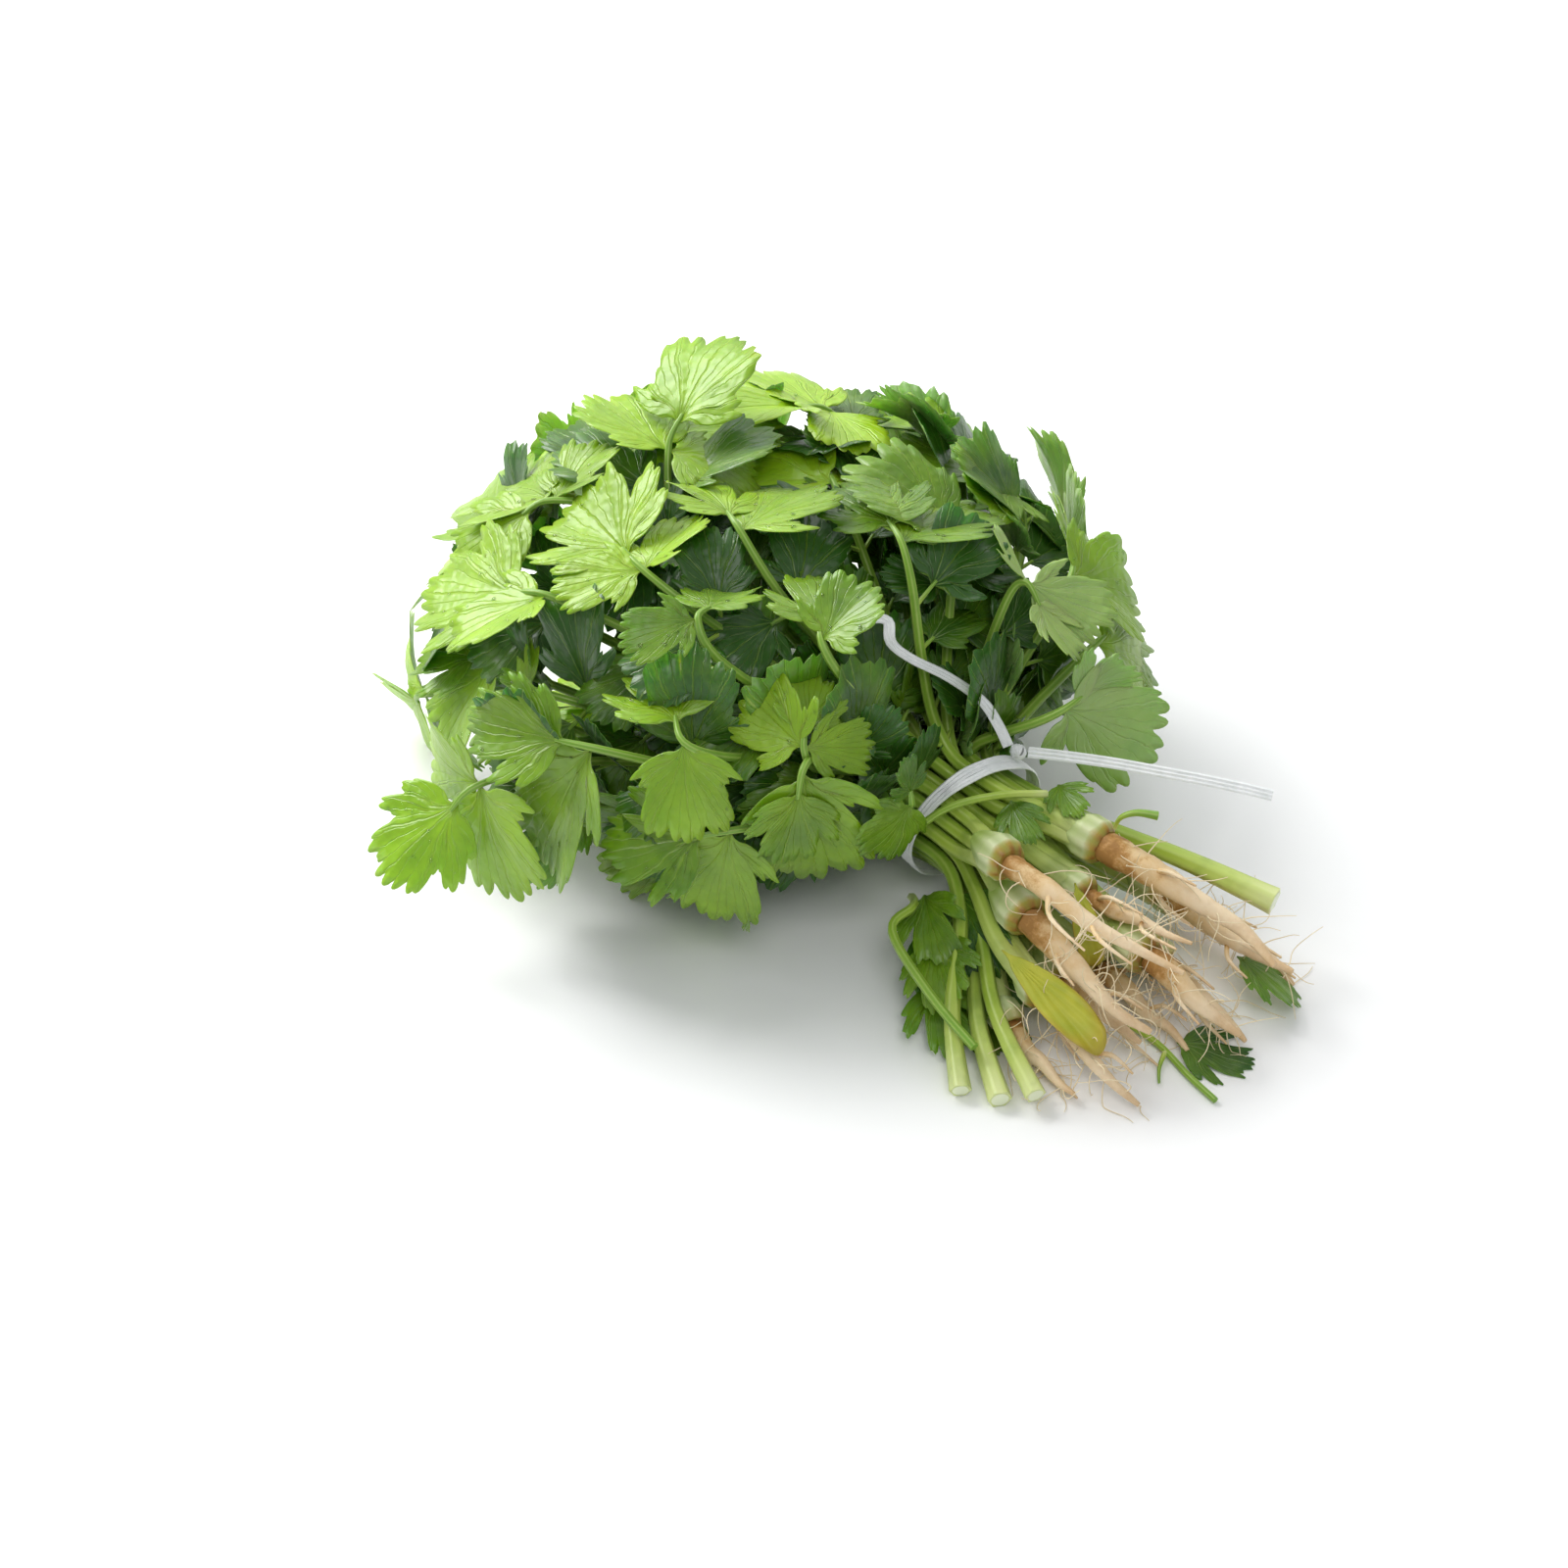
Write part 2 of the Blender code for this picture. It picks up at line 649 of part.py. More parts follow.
def tube_curve(points, radii, rings, into):
    """A filled, tapered tube as a curve; rings is its bevel resolution: 0, 1, 2 for 4, 6, 8 sides."""
    curve = bpy.data.curves.new("tube", "CURVE")
    curve.dimensions = "3D"
    curve.bevel_depth = MM
    curve.bevel_resolution = rings
    curve.use_fill_caps = True
    spline = curve.splines.new("POLY")
    spline.points.add(len(points) - 1)
    for spot, point, radius in zip(spline.points, points, radii):
        spot.co = (*(point * MM), 1)
        spot.radius = radius
    tube = bpy.data.objects.new("tube", curve)
    into.objects.link(tube)
    return tube


def leaflet_sheet(leaf, into):
    """A leaflet's blade: its open surface, given its thickness by a Solidify modifier."""
    corners, fan = leaflet_skin(leaf)
    mesh = bpy.data.meshes.new("leaflet")
    mesh.from_pydata([corner * MM for corner in corners], [], fan)
    sheet = bpy.data.objects.new("leaflet", mesh)
    into.objects.link(sheet)
    solid = sheet.modifiers.new("blade", "SOLIDIFY")
    solid.thickness = BLADE * MM
    solid.offset = 0
    return sheet


def settle(pieces, into):
    """Each piece with its modifiers and bevel applied, its caps welded, as a plain mesh object."""
    bpy.context.view_layer.update()
    graph = bpy.context.evaluated_depsgraph_get()
    settled = []
    for piece in pieces:
        mesh = bpy.data.meshes.new_from_object(piece.evaluated_get(graph))
        skin = bmesh.new()
        skin.from_mesh(mesh)
        bmesh.ops.remove_doubles(skin, verts=skin.verts, dist=1e-6)
        bmesh.ops.recalc_face_normals(skin, faces=skin.faces)
        bmesh.ops.triangulate(skin, faces=skin.faces)
        skin.to_mesh(mesh)
        skin.free()
        solid = bpy.data.objects.new(piece.name, mesh)
        solid.matrix_world = piece.matrix_world
        into.objects.link(solid)
        bpy.data.objects.remove(piece)
        settled.append(solid)
    return settled


def ground_block(into):
    """What lies under the resting surface, cut from each plant so that it rests on flats."""
    bpy.ops.mesh.primitive_cube_add(size=1, location=(0, 0, -0.05), scale=(1, 1, 0.1))
    block = bpy.context.object
    bpy.ops.object.transform_apply(location=True, scale=True)
    block.hide_render = True
    block.display_type = "WIRE"
    return block


def fuse(name, pieces, material, home, workshop, ground=None):
    """One Boolean union of all the pieces, as one object in the bunch."""
    solids = settle(pieces, workshop)
    body = solids.pop(0)
    workshop.objects.unlink(body)
    home.objects.link(body)
    if solids:
        union = body.modifiers.new("fuse", "BOOLEAN")
        union.operation = "UNION"
        union.operand_type = "COLLECTION"
        union.collection = workshop
        union.solver = "MANIFOLD"
        if ground:
            cut = body.modifiers.new("rest", "BOOLEAN")
            cut.operation = "DIFFERENCE"
            cut.object = ground
            cut.solver = "MANIFOLD"
        bpy.context.view_layer.update()
        graph = bpy.context.evaluated_depsgraph_get()
        fused = bpy.data.meshes.new_from_object(body.evaluated_get(graph))
        body.modifiers.clear()
        body.data = fused
        for solid in solids:
            bpy.data.objects.remove(solid)
    tidy(body.data)
    body.name = name
    body.data.name = name
    body.data.materials.clear()
    body.data.materials.append(material)
    return body


def tidy(mesh):
    """Merges flat neighbouring faces, and drops loose scraps and sealed hollows left by fusing."""
    skin = bmesh.new()
    skin.from_mesh(mesh)
    bmesh.ops.dissolve_limit(skin, angle_limit=FLAT_ENOUGH, verts=skin.verts, edges=skin.edges)
    bmesh.ops.triangulate(skin, faces=skin.faces)
    left = set(skin.verts)
    shells = []
    while left:
        edge_of = [left.pop()]
        shell = set(edge_of)
        while edge_of:
            vert = edge_of.pop()
            for edge in vert.link_edges:
                other = edge.other_vert(vert)
                if other not in shell:
                    shell.add(other)
                    edge_of.append(other)
        left -= shell
        shells.append(shell)
    shells.sort(key=len)
    for shell in shells[:-1]:
        bmesh.ops.delete(skin, geom=list(shell), context="VERTS")
    skin.to_mesh(mesh)
    skin.free()


def frond_pieces(frond, into):
    """A leaf stalk with its leaflets."""
    pieces = [tube_curve(*frond["stalk"], 1 if frond["shown"] else 0, into)]
    for leaf in frond["leaves"]:
        pieces.append(leaflet_sheet(leaf, into))
    return pieces


def make_plants(owners, home, workshop, looks):
    ground = ground_block(workshop)
    plants = 0
    cut = 0
    for owner in owners:
        pieces = []
        if owner["tip"]:
            plants += 1
            name = f"plant_{plants:02d}"
            pieces.append(tube_curve(*owner["crown"], 2, workshop))
        else:
            cut += 1
            name = f"cut_stalk_{cut:02d}"
        for frond in owner.get("fronds", []):
            pieces += frond_pieces(frond, workshop)
        if pieces:
            fuse(name, pieces, looks["leaf"], home, workshop, ground)
        if owner["tip"]:
            roots = [tube_curve(*owner["taproot"], 1, workshop)]
            for path in owner["rootlets"]:
                roots.append(tube_curve(*path, 0, workshop))
            fuse(f"root_{plants:02d}", roots, looks["root"], home, workshop)
    bpy.data.objects.remove(ground)


def make_loose(home, workshop, looks):
    for name, route, radius in (
        ("stray_stalk", STRAY_STALK, 1.0),
        ("bent_stalk", BENT_STALK, 1.2),
        ("thin_stem", THIN_STEM, 0.9),
    ):
        points = smooth_route(route, 3)
        radii = [radius] * len(points)
        lift_off_floor(points, radii)
        fuse(name, [tube_curve(points, radii, 1, workshop)], looks["stalk"], home, workshop)


def make_yellow_leaves(home, workshop, looks):
    for number, leaf in enumerate(yellow_leaves(), 1):
        sheet = leaflet_sheet(leaf, workshop)
        fuse(f"yellow_leaf_{number:02d}", [sheet], looks["yellow"], home, workshop)


def tie_turn(lean, radius, into):
    """One turn of the ribbon: a flat profile turned about the bunch, then leant."""
    half = RIBBON_WIDTH / 2
    inner = radius - RIBBON_THICKNESS / 2
    outer = radius + RIBBON_THICKNESS / 2
    corners = ((half, inner), (half, outer), (-half, outer), (-half, inner))
    mesh = bpy.data.meshes.new("turn")
    spots = [(x * MM, 0, r * MM) for x, r in corners]
    mesh.from_pydata(spots, [(0, 1), (1, 2), (2, 3), (3, 0)], [])
    turn = bpy.data.objects.new("turn", mesh)
    into.objects.link(turn)
    screw = turn.modifiers.new("turn", "SCREW")
    screw.axis = "X"
    screw.steps = TIE_STEPS
    screw.render_steps = TIE_STEPS
    screw.use_merge_vertices = True
    screw.merge_threshold = 1e-5
    leant = settle([turn], into)[0]
    for vert in leant.data.vertices:
        angle = math.atan2(vert.co.y, vert.co.z)
        vert.co.x += (TIE_SHIFT + lean * math.cos(angle - KNOT_TURN)) * MM
        vert.co += WAIST * MM
    return leant


def make_tie(home, workshop, looks):
    """Two turns of ribbon that cross, with the knot on top."""
    pieces = []
    for lean, radius in zip(TIE_LEANS, (TIE_RADIUS, TIE_RADIUS + 0.25)):
        pieces.append(tie_turn(lean, radius, workshop))
    bpy.ops.mesh.primitive_uv_sphere_add(segments=8, ring_count=6, radius=MM)
    knot = bpy.context.object
    knot.data.transform(Matrix.Diagonal((3.4, 3.0, 2.7, 1)))
    knot.data.transform(Matrix.Rotation(-KNOT_TURN, 4, "X"))
    knot.data.transform(Matrix.Translation(KNOT * MM))
    for home_before in knot.users_collection:
        home_before.objects.unlink(knot)
    workshop.objects.link(knot)
    pieces.append(knot)
    fuse("tie_band", pieces, looks["ribbon"], home, workshop)


def strip_skin(route, width, thickness):
    """A flat strip along a route, lying flat: its cross-section's corners at each point."""
    corners = []
    for i, point in enumerate(route):
        ahead = (route[min(i + 1, len(route) - 1)] - route[max(i - 1, 0)]).normalized()
        across = ahead.cross(Vector((0, 0, 1))).normalized()
        over = across.cross(ahead).normalized()
        for u, v in ((1, 1), (-1, 1), (-1, -1), (1, -1)):
            corners.append(point + across * u * width / 2 + over * v * thickness / 2)
    faces = [(3, 2, 1, 0)]
    for i in range(len(route) - 1):
        for k in range(4):
            p = 4 * i + k
            q = 4 * i + (k + 1) % 4
            faces.append((p, q, q + 4, p + 4))
    last = 4 * (len(route) - 1)
    faces.append((last, last + 1, last + 2, last + 3))
    return corners, faces


def make_tail(name, route, home, workshop, looks):
    points = smooth_route(route, 2)
    corners, faces = strip_skin(points, RIBBON_WIDTH - 0.4, RIBBON_THICKNESS)
    mesh = bpy.data.meshes.new(name)
    mesh.from_pydata([corner * MM for corner in corners], [], faces)
    tail = bpy.data.objects.new(name, mesh)
    workshop.objects.link(tail)
    fuse(name, [tail], looks["ribbon"], home, workshop)


def settle_on_origin(home):
    """Moves every mesh so that the bunch, without the ribbon's free ends, stands on the origin."""
    spots = []
    for thing in home.objects:
        if not thing.name.startswith("tie_tail"):
            spots += [vert.co for vert in thing.data.vertices]
    low = Vector(min(spot[axis] for spot in spots) for axis in range(3))
    high = Vector(max(spot[axis] for spot in spots) for axis in range(3))
    shift = Vector((-(low.x + high.x) / 2, -(low.y + high.y) / 2, -low.z))
    for thing in home.objects:
        thing.data.transform(Matrix.Translation(shift))


def main():
    for thing in list(bpy.data.objects):
        bpy.data.objects.remove(thing)
    home = bpy.data.collections.new("coriander_bunch")
    workshop = bpy.data.collections.new("workshop")
    bpy.context.scene.collection.children.link(home)
    bpy.context.scene.collection.children.link(workshop)
    looks = {
        "leaf": new_material("leaf", (0.09, 0.24, 0.03), 0.45),
        "yellow": new_material("yellow", (0.50, 0.47, 0.06), 0.5),
        "stalk": new_material("stalk", (0.30, 0.47, 0.10), 0.4),
        "root": new_material("root", (0.62, 0.47, 0.28), 0.7),
        "ribbon": new_material("ribbon", (0.85, 0.86, 0.84), 0.3),
    }
    make_plants(lay_out(), home, workshop, looks)
    make_loose(home, workshop, looks)
    make_yellow_leaves(home, workshop, looks)
    make_tie(home, workshop, looks)
    make_tail("tie_tail_far", FAR_TAIL, home, workshop, looks)
    make_tail("tie_tail_near", NEAR_TAIL, home, workshop, looks)
    bpy.data.collections.remove(workshop)
    settle_on_origin(home)


if __name__ == "__main__":
    main()
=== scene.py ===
import math
import random

import bpy
import numpy as np
from mathutils import Euler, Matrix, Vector
from mathutils.bvhtree import BVHTree


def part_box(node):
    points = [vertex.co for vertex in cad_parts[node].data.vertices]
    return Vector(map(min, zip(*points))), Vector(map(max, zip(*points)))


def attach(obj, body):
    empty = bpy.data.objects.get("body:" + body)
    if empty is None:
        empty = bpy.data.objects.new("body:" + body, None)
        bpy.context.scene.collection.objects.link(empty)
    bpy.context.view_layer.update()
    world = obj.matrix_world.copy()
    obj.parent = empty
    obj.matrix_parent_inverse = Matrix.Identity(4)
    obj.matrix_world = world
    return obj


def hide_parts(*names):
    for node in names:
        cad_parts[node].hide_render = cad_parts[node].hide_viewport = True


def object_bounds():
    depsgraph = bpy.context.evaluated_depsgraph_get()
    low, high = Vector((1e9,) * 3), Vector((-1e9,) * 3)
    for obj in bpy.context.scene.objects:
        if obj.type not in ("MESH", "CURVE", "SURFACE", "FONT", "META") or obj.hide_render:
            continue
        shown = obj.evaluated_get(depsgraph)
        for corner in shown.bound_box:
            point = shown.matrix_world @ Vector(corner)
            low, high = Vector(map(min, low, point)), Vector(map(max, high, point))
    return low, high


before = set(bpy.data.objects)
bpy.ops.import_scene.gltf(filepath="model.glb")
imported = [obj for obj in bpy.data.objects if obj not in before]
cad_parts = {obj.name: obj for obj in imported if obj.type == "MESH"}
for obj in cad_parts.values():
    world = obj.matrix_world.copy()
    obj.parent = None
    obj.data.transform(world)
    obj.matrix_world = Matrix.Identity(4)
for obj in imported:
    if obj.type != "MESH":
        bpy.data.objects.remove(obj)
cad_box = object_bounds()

# ======================================================================== floor, light and camera
# The bunch lies on a plain white table. A soft lamp stands at its leafy end, a weaker one over its
# roots and a wide one behind it. The camera looks down at the root end. The layout is in mm.

MM = 0.001
WAIST = Vector((0, 0, 27))
KNOT = Vector((9, 10.5, 49.5))
KNOT_HALF_LENGTH = 3.4
band_low, band_high = (Vector(corner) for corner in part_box("tie_band"))
ORIGIN = Vector(
    (band_high.x - (KNOT.x + KNOT_HALF_LENGTH) * MM, (band_low.y + band_high.y) / 2, 0)
)
INSET = 0.15 * MM  # how far inside the box of the solids every corner stays
LOW = np.array(cad_box[0]) + INSET * np.array((1, 1, 0))
HIGH = np.array(cad_box[1]) - INSET


def in_frame(points):
    """Points of the bunch's own layout in mm, as an array of places in the row frame in metres,
    none outside the box of the solids."""
    return np.clip(np.array(points, dtype=float) * MM + np.array(ORIGIN), LOW, HIGH)


def linear(code):
    """A colour written as sRGB hex, as the linear values that shaders take."""
    values = [int(code[i : i + 2], 16) / 255 for i in (0, 2, 4)]
    return tuple(v / 12.92 if v <= 0.04045 else ((v + 0.055) / 1.055) ** 2.4 for v in values) + (1,)


def add_node(tree, kind, settings=None, values=None, links=None):
    """A node with its settings, its inputs' own values and what is linked to its inputs. Inputs
    are given by name or, where several share one, by number."""
    node = tree.nodes.new(kind)
    for name, value in (settings or {}).items():
        setattr(node, name, value)
    for socket, value in (values or {}).items():
        node.inputs[socket].default_value = value
    for socket, source in (links or {}).items():
        tree.links.new(source, node.inputs[socket])
    return node


def new_finish(name, roughness, **values):
    """A Principled material, its node tree and its shader."""
    finish = bpy.data.materials.new(name)
    finish.use_nodes = True
    shader = finish.node_tree.nodes["Principled BSDF"]
    shader.inputs["Roughness"].default_value = roughness
    for socket, value in values.items():
        shader.inputs[socket.replace("_", " ").title().replace("Ior", "IOR")].default_value = value
    return finish, finish.node_tree, shader


# Matt white laminate: even, with no grain that would show.
table_finish, tree, shader = new_finish("white_laminate", 0.6)
shader.inputs["Base Color"].default_value = linear("FBFBFA")
bpy.ops.mesh.primitive_plane_add(size=6)
table = bpy.context.object
table.name = "table"
table.data.materials.append(table_finish)


def add_lamp(name, offset, size, watts):
    """A square soft lamp that faces the bunch from an offset in metres."""
    lamp = bpy.data.objects.new(name, bpy.data.lights.new(name, "AREA"))
    lamp.data.size = size
    lamp.data.energy = watts
    lamp.location = offset
    lamp.rotation_euler = (-Vector(offset)).to_track_quat("-Z", "Y").to_euler()
    bpy.context.scene.collection.objects.link(lamp)


add_lamp("window", (-0.95, -0.25, 0.85), 0.8, 19)
add_lamp("fill", (0.75, -0.45, 1.15), 0.6, 4.5)
add_lamp("skylight", (-0.75, 0.60, 0.80), 1.2, 6)
world = bpy.data.worlds.new("room")
world.use_nodes = True
world.node_tree.nodes["Background"].inputs["Color"].default_value = linear("F2F6FA")
world.node_tree.nodes["Background"].inputs["Strength"].default_value = 0.46
bpy.context.scene.world = world
bpy.context.scene.view_settings.view_transform = "Standard"

CAMERA_AT = Vector((427.6, -399.8, 493.0))
CAMERA_SWING = math.radians(52)
CAMERA_RISE = math.radians(38)
camera = bpy.data.objects.new("camera", bpy.data.cameras.new("camera"))
camera.data.lens = 60
camera.data.sensor_width = 36
camera.location = CAMERA_AT * MM + ORIGIN
backwards = Vector(
    (
        math.sin(CAMERA_SWING) * math.cos(CAMERA_RISE),
        -math.cos(CAMERA_SWING) * math.cos(CAMERA_RISE),
        math.sin(CAMERA_RISE),
    )
)
camera.rotation_euler = (-backwards).to_track_quat("-Z", "Y").to_euler()
bpy.context.scene.collection.objects.link(camera)
bpy.context.scene.camera = camera

# ======================================================================== free ends of the ribbon
# The two ends of the tying ribbon beyond its knot: thin polyethylene strip, slit from film and
# folded lengthwise. It is stiff enough to stand out straight over a few centimetres.

FAR_TAIL = (
    (11, 12.5, 49.5),
    (20, 19, 50.3),
    (30, 26.5, 50.6),
    (40, 33.5, 50.6),
    (50, 41, 50.2),
    (60, 48.5, 49.4),
    (66, 53, 48.6),
)
NEAR_TAIL = (
    (6.5, 9, 50.5),
    (1, 9.5, 55),
    (-5, 8.5, 60),
    (-12, 2, 67),
    (-18, -7, 74),
    (-22, -11, 79),
    (-26, -9, 83),
    (-30, -13, 83),
    (-34, -20, 79),
)
TAIL_WIDTH = 3.2
# The strip's cross-section, as shares of its width: three lengthwise folds, then back underneath.
STRIP_TOP = (
    (-0.5, 0.03),
    (-0.34, 0.13),
    (-0.17, 0.01),
    (0, 0.14),
    (0.17, 0.02),
    (0.34, 0.12),
    (0.5, 0.04),
)
STRIP_WALL = 0.09


def hermite(start, leave, end, arrive, steps):
    """Points on the cubic from start to end that leaves and arrives along the given vectors."""
    points = []
    for i in range(steps + 1):
        t = i / steps
        a = 2 * t**3 - 3 * t**2 + 1
        b = t**3 - 2 * t**2 + t
        c = -2 * t**3 + 3 * t**2
        d = t**3 - t**2
        points.append(start * a + leave * b + end * c + arrive * d)
    return points


def smooth_route(route, steps):
    """Points on a smooth curve through the route's own points, so many to a span."""
    spots = [Vector(spot) for spot in route]
    points = [spots[0]]
    for i in range(len(spots) - 1):
        before = spots[max(i - 1, 0)]
        after = spots[min(i + 2, len(spots) - 1)]
        leave = (spots[i + 1] - before) / 2
        arrive = (after - spots[i]) / 2
        points += hermite(spots[i], leave, spots[i + 1], arrive, steps)[1:]
    return points


def add_piece(name, corners, faces, finish, nodes=(), marks=None, smooth=True):
    """A finished piece from its corners in mm, riding on the bunch in place of its nodes. marks
    are numbers kept at each corner for its material."""
    mesh = bpy.data.meshes.new(name)
    mesh.from_pydata(in_frame(corners).tolist(), [], faces)
    for mark, values in (marks or {}).items():
        kept = mesh.attributes.new(mark, "FLOAT", "POINT")
        kept.data.foreach_set("value", np.array(values, dtype=np.float32))
    return finish_piece(name, mesh, finish, nodes, smooth)


def finish_piece(name, mesh, finish, nodes=(), smooth=True):
    """A mesh as a finished piece, riding on the bunch in place of its nodes."""
    mesh.name = name
    mesh.materials.clear()
    mesh.materials.append(finish)
    if smooth:
        mesh.shade_smooth()
    thing = bpy.data.objects.new(name, mesh)
    bpy.context.scene.collection.objects.link(thing)
    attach(thing, "root")
    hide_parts(*nodes)
    return thing


def strip_skin(points, profile, up):
    """Corners and faces of a strip swept along points, closed at both ends. up is the way its
    broad side faces, one for all points or one for each."""
    corners = []
    for i, point in enumerate(points):
        ahead = (points[min(i + 1, len(points) - 1)] - points[max(i - 1, 0)]).normalized()
        facing = up[i] if isinstance(up, list) else up
        across = ahead.cross(facing).normalized()
        over = across.cross(ahead).normalized()
        corners += [point + across * u + over * v for u, v in profile]
    count = len(profile)
    faces = [tuple(range(count))[::-1]]
    for i in range(len(points) - 1):
        for k in range(count):
            p = i * count + k
            q = i * count + (k + 1) % count
            faces.append((p, q, q + count, p + count))
    faces.append(tuple(range((len(points) - 1) * count, len(points) * count)))
    return corners, faces


def strip_profile(width):
    """The folded strip's closed cross-section."""
    top = [(u * width, v * width) for u, v in STRIP_TOP]
    under = [(u * width, (v - STRIP_WALL) * width) for u, v in reversed(STRIP_TOP)]
    return (top + under)[::-1]


def patches_over(tree, per_metre, **values):
    """Soft irregular patches, as a number about 0.5, with so many to the metre."""
    place = add_node(tree, "ShaderNodeTexCoord").outputs["Object"]
    values = {"Scale": per_metre, **values}
    noise = add_node(tree, "ShaderNodeTexNoise", values=values, links={"Vector": place})
    return noise.outputs["Fac"]


def picked_color(tree, share, stops):
    """The colour that a share from 0 to 1 picks out of a row of (position, colour) stops."""
    node = add_node(tree, "ShaderNodeValToRGB", links={"Fac": share})
    ramp = node.color_ramp
    for element, (position, code) in zip(ramp.elements, (stops[0], stops[-1])):
        element.position, element.color = position, linear(code)
    for position, code in stops[1:-1]:
        ramp.elements.new(position).color = linear(code)
    return node.outputs["Color"]


def let_light_in(shader, weight, reach, depth):
    """Lets light pass under the skin: how much of it, how far in red, green and blue, and the
    depth in mm that this is measured by."""
    shader.inputs["Subsurface Weight"].default_value = weight
    shader.inputs["Subsurface Radius"].default_value = reach
    shader.inputs["Subsurface Scale"].default_value = depth * MM


# Slit polyethylene film: milky white, a little cloudier in places, with a soft gloss on its folds.
ribbon_finish, tree, shader = new_finish("slit_polyethylene_film", 0.32, ior=1.5)
cloudy = patches_over(tree, 260, Detail=3, Roughness=0.6)
milk = picked_color(tree, cloudy, ((0.35, "E8EBEA"), (0.65, "F7F8F8")))
tree.links.new(milk, shader.inputs["Base Color"])
let_light_in(shader, 0.25, (1, 1, 1), 1.2)

for name, route, up in (
    ("tie_tail_far", FAR_TAIL, Vector((0.55, -0.45, 0.7))),
    ("tie_tail_near", NEAR_TAIL, Vector((0.3, -0.2, 1))),
):
    points = smooth_route(route, 5)
    corners, faces = strip_skin(points, strip_profile(TAIL_WIDTH), up)
    tail = add_piece(name + "_film", corners, faces, ribbon_finish, [name], smooth=False)
    path = [(point * MM + ORIGIN) for point in points]

# ======================================================================== how the bunch is laid out
# Twelve rooted plants and four cut stalks. Each stalk leaves its crown, runs through its own place
# in the tie and ends in a compound leaf. The same seeded draws as in the solids set every place.

STALK_PITCH = 4.7  # from one stalk to the next where they are tied
STALK_RADIUS = 1.9  # of a stalk at the tie
STALK_TIP_RADIUS = 1.0  # of a stalk where its leaflets meet
CROWN_RADIUS = 6.2
FLOOR = 0.3  # the middle of a blade that lies on the surface
GAP = 0.3  # between a crown and its root
HEAD = Vector((-84, -8, 51))  # middle of the leafy head
HEAD_REACH = Vector((96, 106, 56))  # half its length, width and height
TIE_RADIUS = 20.8  # middle of the ribbon round the stalks
KNOT_TURN = math.radians(28)  # round the tie, from the top towards +Y
TIE_SHIFT = 2  # the middle of the tie's turns, towards the roots
TIE_LEANS = (7.5, 4.5)  # how far each turn of the ribbon leans towards the roots at the knot
SEED = 0

# Each plant: the neck where crown meets taproot, the root's tip, crown size, root radius, stalks.
PLANTS = (
    ((44, 12, 37), (98, 24, 25), 1.05, 4.2, 5),
    ((38, -18, 42), (91, -4, 33), 1.00, 3.0, 5),
    ((46, -17, 27), (92, -15, 18), 1.05, 3.8, 4),
    ((63, -26, 16), (99, -25, 3), 0.85, 3.0, 3),
    ((58, -13, 12), (86, -12, 8), 0.90, 3.2, 3),
    ((57, -32, 4.4), (86, -36, 3), 0.80, 2.6, 3),
    ((71, 5, 19), (102, 9, 10), 1.05, 3.6, 5),
    ((54, 27, 20), (97, 34, 16), 0.95, 3.6, 4),
    ((65, 18, 5), (100, 14, 4), 0.90, 3.0, 3),
    ((55, 3, 4.7), (92, 1, 3), 0.85, 2.8, 3),
    ((51, 38, 8), (92, 42, 4), 0.90, 3.2, 3),
    ((49, 2, 28), (82, 8, 30), 0.80, 2.2, 3),
)

# Each loose cut stalk: its cut end and its radius there.
CUT_STALKS = (
    ((66, -58, 3), 2.3),
    ((75, -52, 3), 2.5),
    ((81, -45, 5), 2.3),
    ((80, 43, 25), 3.0),
)

# A thin stalk that lies across the tie, a bent one beside the cut ones, and a thin stem among the
# roots.
STRAY_STALK = (
    (25, 7, 46),
    (19, -6, 48),
    (11, -17, 44),
    (4, -24, 34),
    (-3, -26, 25),
    (-12, -25, 20),
)
BENT_STALK = (
    (3, -22, 9),
    (10, -27, 15),
    (18, -35, 22),
    (21.5, -45, 21),
    (43, -49, 15),
    (62, -50, 11),
)
THIN_STEM = ((68, -5, 2), (84, -3, 1.4), (98, -5, 1.2), (109, -6, 1.2))

